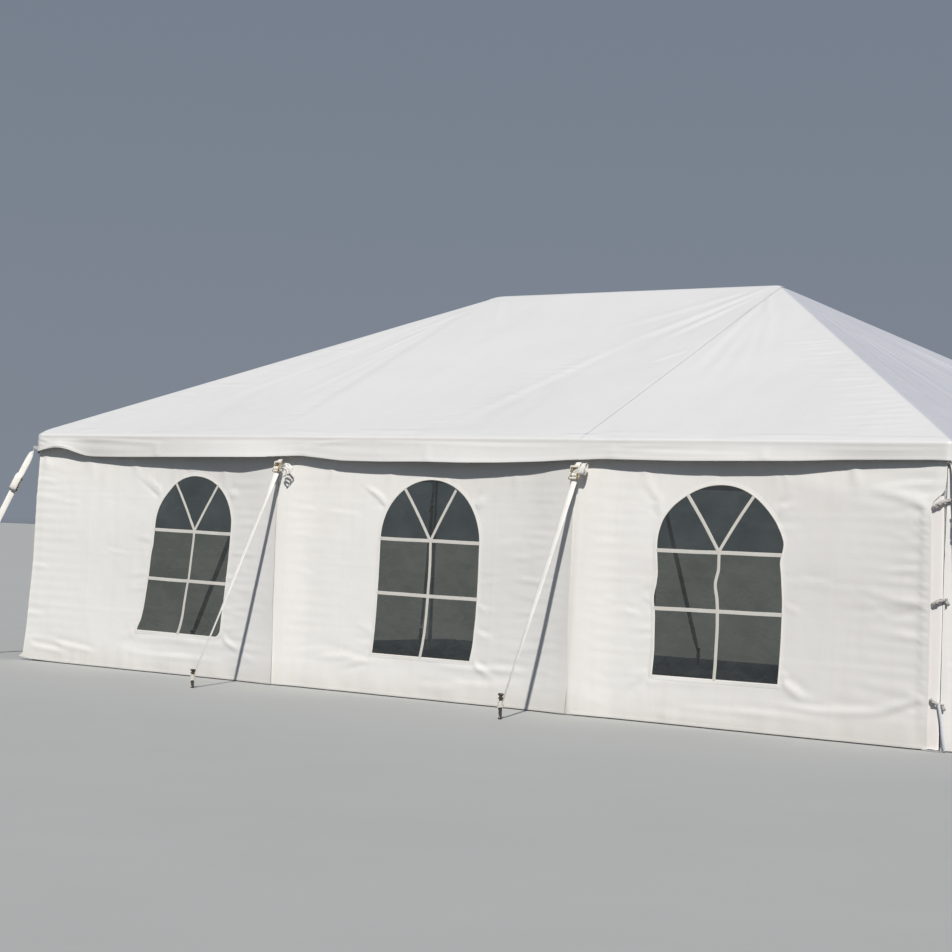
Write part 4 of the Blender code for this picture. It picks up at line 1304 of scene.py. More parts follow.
class Panel:
    """One hung wall: a map from (along, height, out) to its place, with the
    cloth's lean, bows, folds and ripples in it."""

    def __init__(self, name, lo, hi, centre, kind, seed):
        self.name, self.lo, self.hi, self.centre = name, lo, hi, centre
        self.kind, self.seed = kind, seed
        self.marks = []
        rs = np.random.RandomState(seed)
        span = hi - lo
        # level and slanting soft folds, thicker near the side edges
        for k in range(34):
            side = rs.rand() < 0.5
            off = rs.exponential(0.22)
            c = lo + off if side else hi - off
            c = min(max(c, lo + 0.1), hi - 0.1)
            z = rs.uniform(0.12, 1.85)
            half = rs.uniform(0.06, 0.26)
            tilt = rs.normal(0, 0.07)
            self.marks.append(((c - half, z - tilt * half), (c + half, z + tilt * half),
                               rs.uniform(0.016, 0.030),
                               rs.uniform(0.0012, 0.0030), rs.uniform(-0.01, 0.01),
                               "lip", (0.35, 0.4)))
        # round the window: short pulls from its corners and along its sides
        for cs, cz, du, dv in ((-WIN_HALF, SILL, -1, -0.7),
                               (WIN_HALF, SILL, 1, -0.7),
                               (-WIN_HALF * 0.85, SPRING + 0.3, -0.8, 0.8),
                               (WIN_HALF * 0.85, SPRING + 0.3, 0.8, 0.8)):
            for k in range(3):
                far = rs.uniform(0.12, 0.42)
                a = (centre + cs + du * 0.03, cz + dv * 0.03
                     + rs.uniform(-0.05, 0.05))
                b = (a[0] + du * far, a[1] + dv * far * rs.uniform(0.2, 0.9))
                self.marks.append((a, b, rs.uniform(0.016, 0.028),
                                   rs.uniform(0.0020, 0.0045),
                                   rs.uniform(-0.02, 0.02), "lip", (0.12, 0.6),
                                   0.6))
        for k in range(9):
            z = rs.uniform(SILL + 0.05, SPRING)
            sgn = -1 if rs.rand() < 0.5 else 1
            a = (centre + sgn * (WIN_HALF + 0.015), z)
            b = (a[0] + sgn * rs.uniform(0.10, 0.30), z + rs.uniform(-0.07, 0.05))
            self.marks.append((a, b, rs.uniform(0.014, 0.024),
                               rs.uniform(0.0015, 0.0032), 0.0, "lip",
                               (0.1, 0.7), 0.5))
        # below the sill: long shallow swags
        for k in range(7):
            z = rs.uniform(0.07, 0.31)
            c = rs.uniform(lo + 0.5, hi - 0.5)
            half = rs.uniform(0.25, 0.6)
            self.marks.append(((c - half, z), (c + half, z + rs.uniform(-0.03, 0.03)),
                               rs.uniform(0.02, 0.034), rs.uniform(0.0018, 0.0042),
                               rs.uniform(-0.03, 0.03), "lip", (0.3, 0.4)))
        # upright drops from the hanging points
        n = int(round(span / 0.6))
        self.hooks = [lo + 0.06 + (span - 0.12) * i / n for i in range(n + 1)]
        for h in self.hooks:
            for k in range(2):
                self.marks.append(((h + rs.uniform(-0.03, 0.03), 2.03),
                                   (h + rs.uniform(-0.16, 0.16),
                                    rs.uniform(1.45, 1.75)),
                                   rs.uniform(0.018, 0.035),
                                   rs.uniform(0.0025, 0.0055),
                                   rs.uniform(-0.02, 0.02), "ridge",
                                   (0.05, 0.7), 0.8))
        # storage creases: a faint grid from how the wall was folded away
        for f in (0.25, 0.5, 0.75):
            s = lo + span * f + rs.uniform(-0.03, 0.03)
            self.marks.append(((s, 0.03), (s + rs.uniform(-0.01, 0.01), 2.0),
                               0.012, 0.0011, 0.0, "lip", (0.05, 0.05)))
        for z in (0.52, 1.04, 1.55):
            zz = z + rs.uniform(-0.03, 0.03)
            self.marks.append(((lo + 0.03, zz), (hi - 0.03, zz + 0.01), 0.012,
                               0.0010, 0.0, "lip", (0.05, 0.05)))
        self.r1, self.r2, self.r3 = (Ripple(seed + i) for i in (1, 2, 3))

    # in-plane wandering of the cloth
    def shift(self, s, z):
        ds, dz = np.zeros_like(s), np.zeros_like(z)
        r = self.r3
        ds += 0.004 * r(s * 1.1 + 9, z * 1.4) * smooth(0, 0.2, z)
        if self.name in DRAWN:
            t = DRAWN[self.name]
            c = self.centre
            reach = np.sqrt(np.maximum(
                WIN_HALF ** 2 - np.maximum(z - SPRING, 0) ** 2, 0.12 ** 2))
            u = (s - c) / reach
            g = np.exp(-(np.maximum(window_gap(s, z, c), 0) / 0.26) ** 2)
            ds += g * (eased(z, t["left"]) * np.clip(-u, 0, 1)
                       + eased(z, t["right"]) * np.clip(u, 0, 1))
            sill_l, sill_r, crown = t["rise"]
            k = np.clip((s - c) / WIN_HALF * 0.5 + 0.5, 0, 1)
            dz += g * ((sill_l * (1 - k) + sill_r * k)
                       * np.exp(-((z - SILL) / 0.20) ** 2)
                       + crown * np.exp(-((z - 1.77) / 0.16) ** 2
                                        - ((s - c) / 0.34) ** 2))
        if self.name == "front_left":
            # the free end leans, and its lower corner runs out to a point
            ds += eased(z, FREE_END) * smooth(-3.85, -4.45, s)
            toe = smooth(-4.47, -4.56, s)
            ds -= 0.062 * toe * (1 - smooth(0.0, 0.055, z))
            dz += (0.016 * toe + 0.006 * smooth(-4.1, -4.5, s)) * (
                1 - smooth(0, 0.12, z))
        if self.name == "front_right":
            ds += eased(z, TIED_END) * smooth(4.22, 4.46, s)
        if self.name in LAP_ALONG:
            # its edge laps over the next wall, below the strap's lug
            ds += eased(z, LAP_ALONG[self.name]) * smooth(
                self.hi - 0.30, self.hi, s)
        if self.name in ("front_middle", "front_right"):
            # and this one's edge runs on behind the lap
            ds -= 0.026 * smooth(self.lo + 0.16, self.lo, s) \
                * smooth(1.90, 1.82, z)
        return ds, dz

    def before(self, s, z):
        """The (along, height) that the cloth's wandering carries to s, z."""
        s, z = np.asarray(s, float), np.asarray(z, float)
        a, b = s.copy(), z.copy()
        for _ in range(6):
            ds, dz = self.shift(a, b)
            a, b = s - ds, z - dz
        return a, b

    def relief(self, s, z):
        P = np.stack([s, z], 1)
        d = np.zeros(len(P))
        for mk in self.marks:
            crease(P, d, *mk)
        span = self.hi - self.lo
        t = np.clip((s - self.lo) / span, 0, 1)
        d += 0.011 * self.r1(s * 0.75, z * 0.9 + 4) * smooth(0.0, 0.3, z)
        d += 0.0035 * self.r2(s * 2.6, z * 2.1)
        d += 0.0012 * self.r3(s * 8.0, z * 7.0)
        # the head bows in between the posts
        d -= 0.034 * np.sin(math.pi * t) ** 0.7 * smooth(1.15, 1.93, z)
        if self.kind == "front":
            # each bay stands a little hollow, deepest right of the middle
            d -= 0.008 * np.sin(math.pi * t ** 1.5) ** 1.3 \
                * smooth(0.10, 0.60, z) * smooth(1.93, 1.45, z)
            # fine level ripples, strongest beside the laced seams
            beside = np.minimum(np.abs(s - self.lo), np.abs(s - self.hi))
            wave = np.sin(z * 2 * math.pi / 0.088 + s * 1.3 * self.r1(0.4, 1.7)
                          + 2.4 * self.r1(s * 1.2 + 3, z * 0.8))
            d += 0.0017 * wave * np.exp(-(beside / 0.55) ** 2) \
                * (0.6 + 0.4 * self.r2(s * 1.7, z * 1.3 + 5)) \
                * smooth(0.05, 0.25, z)
        # the foot leans out a little and waves along the ground
        foot = 1 - smooth(0.0, 0.30, z)
        d += foot * (0.012 + 0.016 * self.r1(s * 2.4 + 7, 0.3)
                     + 0.006 * self.r2(s * 7.0, 0.7))
        d += 0.014 * (1 - smooth(0.0, 1.2, z))
        if self.name in LAP_ALONG:
            # the lap bellies out over the next wall's edge
            k = smooth(self.hi - 0.46, self.hi - 0.04, s) * 0.85
            d = d * (1 - k) + k * (0.006 + 0.020 * (1 - smooth(0, 0.5, z)))
            wide = 0.52 * np.clip(1 - z / 1.88, 0.03, 1) + 0.03
            x = np.clip((s - (self.hi - wide)) / wide, 0, 1)
            d += x ** 1.6 * np.interp(z, (0.0, 0.7, 1.3, 1.82, 1.90),
                                      (0.050, 0.044, 0.028, 0.005, 0.0))
        if self.name in ("front_middle", "front_right"):
            # and follows the lap's belly from behind
            k = smooth(self.lo + 0.42, self.lo + 0.02, s)
            k = k * smooth(1.95, 1.86, z)
            behind = 0.76 * np.interp(z, (0.0, 0.7, 1.3, 1.82, 1.90),
                                      (0.067, 0.049, 0.031, 0.006, -0.002))
            behind = behind * (1 - 0.45 * smooth(self.lo + 0.06, self.lo, s))
            d = d * (1 - k) + behind * k
        if self.name == "front_left":
            d += 0.012 * smooth(-4.2, -4.56, s) * (1 - smooth(0, 0.5, z))
        if self.name == "front_right":
            k = smooth(4.34, 4.44, s)
            d = d * (1 - 0.7 * k) + 0.0045 * k
            # drawn up to the flap by the ties
            d += 0.0060 * smooth(4.375, 4.432, s) * smooth(1.74, 1.60, z) \
                * smooth(0.02, 0.20, z)
        if self.name == "end_front":
            d -= 0.012 * smooth(-3.026, -3.041, s)
        # clear of the legs behind
        if self.kind == "front":
            for lx in (-LEG_X, -MID_X, MID_X, LEG_X):
                near = 1 - smooth(0.04, 0.12, np.abs(s - lx))
                d = np.where(near > 0, d * (1 - near) + near *
                             np.maximum(d, -0.004), d)
        else:
            curl = -0.012 * smooth(-3.026, -3.041, s) \
                if self.name == "end_front" else 0.0
            for ly in (-LEG_Y, 0.0, LEG_Y):
                near = 1 - smooth(0.04, 0.12, np.abs(s - ly))
                d = np.where(near > 0, d * (1 - near) + near *
                             np.maximum(d, -0.004 + curl), d)
        return d

    def place(self, s, z, off=0.0):
        s, z = np.asarray(s, float), np.asarray(z, float)
        o = self.relief(s, z) + off
        ds, dz = self.shift(s, z)
        if self.kind == "front":
            return np.stack([s + ds, WALL_Y - o, z + dz], -1)
        if self.name == "end_front":
            # its tied edge stands out in a fold that faces the front
            u = np.maximum(s - self.lo, 0)
            near = np.minimum(u, 0.070)
            back = 1 - smooth(0.070, 0.40, u)
            k = smooth(1.74, 1.56, z) * (0.92 + 0.08 * np.sin(z * 5.1 + 0.6))
            o = o + k * 0.93 * near * back
            ds = ds - k * 0.64 * near * back
        return np.stack([WALL_X + o, s + ds, z + dz], -1)


def fill(outer, holes, h, keep):
    """Triangles over the area that keep() accepts, with outer and holes as
    fixed outlines."""
    lo, hi = outer.min(0), outer.max(0)
    nx = int(round((hi[0] - lo[0]) / h))
    nz = int(round((hi[1] - lo[1]) / h))
    gx = lo[0] + (hi[0] - lo[0]) * np.arange(1, nx) / nx
    gz = lo[1] + (hi[1] - lo[1]) * np.arange(1, nz) / nz
    X, Zg = np.meshgrid(gx, gz, indexing="ij")
    grid = np.stack([X.ravel(), Zg.ravel()], 1)
    for ring in [outer] + holes:
        d2 = np.full(len(grid), 1.0)
        for p in ring:
            d2 = np.minimum(d2, ((grid - p) ** 2).sum(1))
        grid = grid[d2 > (0.62 * h) ** 2]
    grid = grid[keep(grid)]
    pts, edges = [], []
    for ring in [outer] + holes:
        k = len(pts)
        pts += [Vector(p) for p in ring]
        edges += [(k + i, k + (i + 1) % len(ring)) for i in range(len(ring))]
    pts += [Vector(p) for p in grid]
    v, _, f, *_ = geometry.delaunay_2d_cdt(pts, edges, [], 0, 1e-6)
    v = np.array([(p.x, p.y) for p in v])
    f = np.array([t for t in f if len(t) == 3])
    mid = v[f].mean(1)
    f = f[keep(mid)]
    used = np.unique(f)
    remap = np.full(len(v), -1)
    remap[used] = np.arange(len(used))
    return v[used], remap[f]


def box_line(lo, hi, bottom, top, h):
    nx, nz = int(round((hi - lo) / h)), int(round((top - bottom) / h))
    pts = [(lo + (hi - lo) * i / nx, bottom) for i in range(nx)]
    pts += [(hi, bottom + (top - bottom) * i / nz) for i in range(nz)]
    pts += [(hi - (hi - lo) * i / nx, top) for i in range(nx)]
    pts += [(lo, top - (top - bottom) * i / nz) for i in range(nz)]
    return np.array(pts)


class Trim:
    """Flat strips laid on a panel: window borders, glazing bars and hems."""

    def __init__(self, panel):
        self.panel = panel
        self.v, self.q, self.n, self.m = [], [], 0, []

    def strip(self, line, rows, closed=False, tone=0):
        """line: points (s, z); rows: (sideways, out) across the strip."""
        had = len(self.q)
        self.lay(line, rows, closed)
        self.m += [tone] * (len(self.q) - had)

    def lay(self, line, rows, closed):
        line = np.asarray(line, float)
        if closed:
            ahead = np.roll(line, -1, 0) - line
            behind = line - np.roll(line, 1, 0)
        else:
            d = np.diff(line, axis=0)
            ahead = np.vstack([d, d[-1:]])
            behind = np.vstack([d[:1], d])
        a = ahead / np.linalg.norm(ahead, axis=1)[:, None]
        b = behind / np.linalg.norm(behind, axis=1)[:, None]
        n = np.stack([-(a + b)[:, 1], (a + b)[:, 0]], 1)
        n /= np.linalg.norm(n, axis=1)[:, None]
        c = np.clip((n * np.stack([-a[:, 1], a[:, 0]], 1)).sum(1), 0.5, 1)
        pts = []
        for side, out in rows:
            q = line + n * (side / c)[:, None]
            pts.append(self.panel.place(q[:, 0], q[:, 1], out))
        pts = np.stack(pts, 1)
        k, m = pts.shape[:2]
        self.v.append(pts.reshape(-1, 3))
        for i in range(k if closed else k - 1):
            i2 = (i + 1) % k
            for j in range(m - 1):
                self.q.append((self.n + i * m + j, self.n + i2 * m + j,
                               self.n + i2 * m + j + 1, self.n + i * m + j + 1))
        if not closed and m > 2:
            # close both ends of the strip
            for i in (0, k - 1):
                for j in range(1, m // 2):
                    quad = (self.n + i * m + j - 1, self.n + i * m + j,
                            self.n + i * m + m - 1 - j, self.n + i * m + m - j)
                    self.q.append(quad)
        self.n += k * m

    def make(self, name, mats, slot):
        ob = build(name, np.vstack(self.v), [np.array(self.q)], mats, slot=slot,
                   slots_of=self.m)
        bm = bmesh.new()
        bm.from_mesh(ob.data)
        bmesh.ops.recalc_face_normals(bm, faces=bm.faces)
        bm.to_mesh(ob.data)
        bm.free()
        ob.data.set_sharp_from_angle(angle=math.radians(50))
        return ob


def face_out(ob, axis, sign):
    """Turns an open sheet so that its faces look outwards."""
    me = ob.data
    total = sum(p.normal[axis] * p.area for p in me.polygons)
    if total * sign < 0:
        me.flip_normals()


def hung_wall(name, lo, hi, centre, kind, seed, bow, mat, extra=()):
    panel = Panel(name, lo, hi, centre, kind, seed)
    panel.marks += list(extra)
    h = 0.019
    outer = box_line(lo, hi, WALL_LOW, WALL_TOP, h)
    soft = 0.072 if name == "front_left" else 0.0
    hole = arch_line(centre, h * 0.95, 0.0, soft)
    v, f = fill(outer, [hole], h, lambda p: ~inside(p, centre, -1e-5, soft))
    ob = build("wall_cloth_" + name, panel.place(v[:, 0], v[:, 1]), [f], mat,
               slot="wall_vinyl")
    face_out(ob, 1 if kind == "front" else 0, -1 if kind == "front" else 1)
    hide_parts("wall_" + name)

    # the clear sheet, welded on behind with a narrow lap
    ph = 0.026
    ring = arch_line(centre, ph, 0.012, soft)
    pv, pf = fill(ring, [], ph, lambda p: inside(p, centre, 0.0121, soft))
    gap = -window_gap(pv[:, 0], pv[:, 1], centre)
    free = smooth(0.0, 0.16, gap)
    r = Ripple(seed + 40)
    wave = free * (0.0050 * r(pv[:, 0] * 2.1, pv[:, 1] * 1.5)
                   + 0.0022 * r(pv[:, 0] * 6.5 + 3, pv[:, 1] * 4.0)
                   + 0.0009 * r(pv[:, 0] * 15 + 3, pv[:, 1] * 13.0))
    base = panel.place(pv[:, 0], pv[:, 1], -0.0010)
    out = np.array([0, -1.0, 0]) if kind == "front" else np.array([1.0, 0, 0])
    pane = build("window_film_" + name, base + wave[:, None] * out, [pf], FILM,
                 slot="window_vinyl")
    face_out(pane, 1 if kind == "front" else 0, -1 if kind == "front" else 1)
    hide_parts("window_" + name)

    # welded border, glazing bars, hems
    trim = Trim(panel)
    edge = arch_line(centre, 0.02, 0.0, soft)
    trim.strip(edge, [(0.003, -0.0022), (0.0038, 0.0014), (0.001, 0.0024),
                      (-0.006, 0.0022), (-0.0110, 0.0012)], closed=True)
    trim.strip(edge, [(-0.0108, 0.0012), (-0.0265, 0.0012), (-0.0290, 0.0006)],
               closed=True, tone=2)

    def bar(line, lift, w=0.0122):
        line = np.asarray(line, float)
        back = np.stack(panel.before(line[:, 0], line[:, 1]), 1)
        rows = [(-w, lift - 0.0012), (-w + 0.001, lift + 0.0009),
                (0.0, lift + 0.0014), (w - 0.001, lift + 0.0009),
                (w, lift - 0.0012)]
        trim.strip(back, rows, tone=1)

    def wander(line, seed2, size=0.004):
        line = np.array(line, float)
        rr = Ripple(seed2)
        line[:, 0] += size * rr(line[:, 0] * 2.5, line[:, 1] * 2.5)
        line[:, 1] += size * rr(line[:, 0] * 2.5 + 7, line[:, 1] * 2.5)
        return line

    drawn = DRAWN.get(name, dict(
        bars=((1.276, 1.276), (0.836, 0.836)),
        mid=((0.35, bow[0]), (0.60, bow[0] * 0.4), (0.84, bow[1]),
             (1.28, 0.0)),
        fan=((0.0, 1.262), (-0.262, 1.690), (0.262, 1.690))))
    for z0, z1 in drawn["bars"]:
        reach = WIN_HALF + 0.004
        mid = (z0 + z1) / 2
        if mid > SPRING:
            reach = math.sqrt(WIN_HALF ** 2 - (mid - SPRING) ** 2) + 0.004
        xs = np.linspace(centre - reach, centre + reach, 44)
        ends = panel.shift(xs, np.full(44, mid))[0]
        bar(wander(np.stack([xs + ends, np.linspace(z0, z1, 44)], 1),
                   seed + 51, 0.003), 0.0012, 0.0145)
    zs = np.linspace(SILL - 0.004 + (drawn.get("rise", (0, 0))[0]
                                     + drawn.get("rise", (0, 0))[1]) / 2,
                     drawn["fan"][0][1] + 0.006, 48)
    bar(np.stack([centre + eased(zs, drawn["mid"]), zs], 1), 0.0024)
    fx, fz = drawn["fan"][0]
    for k, (hx, hz) in enumerate(drawn["fan"][1:]):
        t = np.linspace(0, 1.02, 24)
        bar(np.stack([centre + fx + (hx - fx) * t,
                      fz + (hz - fz) * t + 0.010 * np.sin(math.pi * t)], 1),
            0.0024 + 0.0006 * k)
    # hems: foot, head and both side edges, folded round the cloth
    fold = [(0.0240, -0.0012), (0.0239, 0.0009), (0.0150, 0.0013),
            (0.0040, 0.0013), (0.0010, 0.0008), (-0.0004, 0.0), (0.0006, -0.0010),
            (0.0040, -0.0017), (0.0150, -0.0018), (0.0225, -0.0017)]
    n = 90
    foot = np.stack([np.linspace(lo, hi, n), np.full(n, WALL_LOW)], 1)
    trim.strip(foot, fold, tone=2)
    head = np.stack([np.linspace(hi, lo, n), np.full(n, WALL_TOP)], 1)
    trim.strip(head, fold)
    n = 90
    for s0, flip in ((lo, True), (hi, False)):
        z = np.linspace(WALL_LOW + 0.001, WALL_TOP - 0.001, n)
        if flip:
            z = z[::-1]
        open_end = name == "front_left" and flip
        size = 0.5 if open_end else 0.68
        thin = 1.0 if open_end else 0.55
        narrow = [(a * size if a > 0.005 else a, b * thin) for a, b in fold]
        trim.strip(np.stack([np.full(n, s0), z], 1), narrow,
                   tone=0 if open_end else 2)
    tr = trim.make("wall_trim_" + name, [HEM, BAR, mat], "wall_vinyl")
    return panel, ob


SEAM = 0.005
TIE_HEIGHTS = (1.66, 1.00, 0.345)
corner_folds = []
rs = np.random.RandomState(301)
for tz in TIE_HEIGHTS:
    for k in range(5):
        far = rs.uniform(0.18, 0.75)
        ang = rs.uniform(-0.45, 0.30)
        corner_folds.append(((4.455, tz + rs.uniform(-0.02, 0.02)),
                             (4.455 - far, tz + far * math.sin(ang)),
                             rs.uniform(0.014, 0.026), rs.uniform(0.0025, 0.0055),
                             rs.uniform(-0.02, 0.02), "lip", (0.08, 0.7), 0.9))
for k in range(26):       # puckers in the hem beside the corner
    z = 0.22 + 1.45 * k / 26 + rs.uniform(-0.015, 0.015)
    corner_folds.append(((4.466, z), (4.412 - rs.uniform(0, 0.03), z +
                                      rs.uniform(-0.012, 0.012)), 0.012,
                         0.0085, 0.0, "lip", (0.1, 0.4)))
# the head of the wall drawn round the corner above the first tie
corner_folds += [((4.30, 1.72), (4.56, 1.76), 0.020, 0.008, 0.0, "fold",
                  (0.4, 0.2)),
                 ((3.95, 1.78), (4.54, 1.84), 0.026, 0.007, 0.01, "fold",
                  (0.4, 0.2))]
crumple = [((-2.72, 1.845), (-2.50, 1.832), 0.012, 0.0065, 0.006, "lip", (0.3, 0.4)),
           ((-2.66, 1.815), (-2.53, 1.822), 0.010, 0.0045, -0.004, "lip", (0.3, 0.4)),
           ((-2.62, 1.86), (-2.46, 1.80), 0.012, 0.0035, 0.0, "lip", (0.3, 0.4)),
           ((-4.50, 0.16), (-4.00, 0.12), 0.030, 0.010, 0.0, "fold", (0.2, 0.3)),
           ((-4.20, 0.20), (-3.60, 0.15), 0.030, 0.009, 0.0, "fold", (0.2, 0.3))]
seam_ripples = []
SEAM_MARKS = 22
for edge in (-1.5275, 1.5175):
    for k in range(SEAM_MARKS):
        z = 0.20 + 0.072 * k + rs.uniform(-0.018, 0.018)
        far = rs.uniform(0.22, 0.62)
        seam_ripples.append(((edge - 0.03, z), (edge - 0.03 - far, z + far *
                             rs.uniform(-0.10, 0.08)), rs.uniform(0.016, 0.026),
                             rs.uniform(0.0018, 0.0042), rs.uniform(-0.01, 0.01),
                             "lip", (0.15, 0.5)))
PANELS = {}
for args in (
        ("front_left", -4.560, -MID_X - SEAM, -2.545, "front", 401,
         (-0.050, 0.0), WALL_LEFT, crumple + seam_ripples[:SEAM_MARKS]),
        ("front_middle", -MID_X + SEAM, MID_X - SEAM, 0.108, "front", 431,
         (-0.052, 0.0), WALL_MID, seam_ripples[SEAM_MARKS:]),
        ("front_right", MID_X + SEAM, 4.480, 2.800, "front", 461,
         (-0.006, 0.022), WALL_RIGHT, corner_folds),
        ("end_front", -3.041, -SEAM, -1.480, "end", 491, (0.03, 0.0), WALL_END),
        ("end_back", SEAM, 2.995, 1.490, "end", 521, (-0.02, 0.01), WALL_END)):
    PANELS[args[0]] = hung_wall(*args)

# ------------------------------------------------------------------ guy straps
LEGS = {"front_left": (-LEG_X, -LEG_Y), "front_mid_left": (-MID_X, -LEG_Y),
        "front_mid_right": (MID_X, -LEG_Y), "front_right": (LEG_X, -LEG_Y),
        "back_left": (-LEG_X, LEG_Y), "back_mid_left": (-MID_X, LEG_Y),
        "back_mid_right": (MID_X, LEG_Y), "back_right": (LEG_X, LEG_Y),
        "left_end": (-LEG_X, 0.0), "right_end": (LEG_X, 0.0)}
REACH = {"front_mid_left": 0.985, "front_mid_right": 0.910,
         "back_mid_left": 0.985, "back_mid_right": 0.910,
         "left_end": 0.880, "right_end": 0.880}
STRAP_HALF = 0.024
# the front straps stand a little askew: shift along the tent at the lug, at
# the foot and at the stake
ASKEW = {"front_mid_left": (0.060, 0.024, 0.012),
         "front_mid_right": (0.050, 0.026, 0.006),
         "front_right": (0.030, 0.0, 0.0)}
RIBBON = [(-1.0, 0.0), (-0.965, 0.0009), (-0.6, 0.00105), (-0.2, 0.0011),
          (0.2, 0.0011), (0.6, 0.00105), (0.965, 0.0009), (1.0, 0.0),
          (0.965, -0.0009), (0.6, -0.00105), (0.2, -0.0011), (-0.2, -0.0011),
          (-0.6, -0.00105), (-0.965, -0.0009)]


def unit(v):
    v = np.asarray(v, float)
    return v / np.linalg.norm(v)


def ribbon(pile, path, wide, half=STRAP_HALF, cup=0.0, v0=0.0, thick=1.0):
    """Flat webbing along path; wide gives the width direction at each point,
    cup how far its middle bellies out."""
    p = np.asarray(path, float)
    tan = np.gradient(p, axis=0)
    tan /= np.linalg.norm(tan, axis=1)[:, None] + 1e-12
    w = np.broadcast_to(np.asarray(wide, float), p.shape).copy()
    w -= tan * (w * tan).sum(1)[:, None]
    w /= np.linalg.norm(w, axis=1)[:, None] + 1e-12
    n = np.cross(tan, w)
    half = np.broadcast_to(np.asarray(half, float), (len(p),))
    cup = np.broadcast_to(np.asarray(cup, float), (len(p),))
    prof = np.array(RIBBON)
    x = prof[:, 0]
    rows = (p[:, None] + w[:, None] * (half[:, None] * x[None])[..., None]
            + n[:, None] * (prof[:, 1][None] * thick
                            + cup[:, None] * (1 - np.abs(x)[None] ** 1.3))[..., None])
    k, m = rows.shape[:2]
    along = v0 + np.concatenate([[0], np.cumsum(
        np.linalg.norm(np.diff(p, axis=0), axis=1))])
    uv = np.stack([np.tile((x + 1) / 2, k), np.repeat(along, m)], 1)
    i, j = np.meshgrid(np.arange(k - 1), np.arange(m), indexing="ij")
    i, j = i.ravel(), j.ravel()
    j2 = (j + 1) % m
    quads = np.stack([i * m + j, i * m + j2, (i + 1) * m + j2,
                      (i + 1) * m + j], 1)
    half_m = m // 2
    caps = []
    for e, flip in ((0, False), (k - 1, True)):
        for j in range(half_m - 1):
            a, b = e * m + j, e * m + j + 1
            c, d = e * m + (m - 2 - j) % m + 0, e * m + (m - 1 - j) % m
            q = (a, b, e * m + (2 * half_m - 1 - (j + 1)) % m,
                 e * m + (2 * half_m - 1 - j) % m)
            caps.append(q if flip else q[::-1])
    pile.add(rows.reshape(-1, 3), np.vstack([quads, caps]), uv=uv)


def rounded(points, radius, steps=4):
    """A closed outline with its corners rounded."""
    pts = [np.asarray(p, float) for p in points]
    out = []
    for i, p in enumerate(pts):
        a, b = pts[i - 1], pts[(i + 1) % len(pts)]
        da, db = a - p, b - p
        r = min(radius, np.linalg.norm(da) * 0.45, np.linalg.norm(db) * 0.45)
        s, e = p + unit(da) * r, p + unit(db) * r
        for k in range(steps + 1):
            t = k / steps
            out.append((1 - t) ** 2 * s + 2 * t * (1 - t) * p + t * t * e)
    return np.array(out)


def path_through(points, n):
    """A smooth Catmull-Rom path through points, n samples."""
    p = np.asarray(points, float)
    p = np.vstack([2 * p[0] - p[1], p, 2 * p[-1] - p[-2]])
    segs = len(p) - 3
    t = np.linspace(0, segs - 1e-9, n)
    i = t.astype(int)
    u = (t - i)[:, None]
    a, b, c, d = p[i], p[i + 1], p[i + 2], p[i + 3]
    return 0.5 * (2 * b + (c - a) * u + (2 * a - 5 * b + 4 * c - d) * u * u
                  + (3 * b - a - 3 * c + d) * u ** 3)


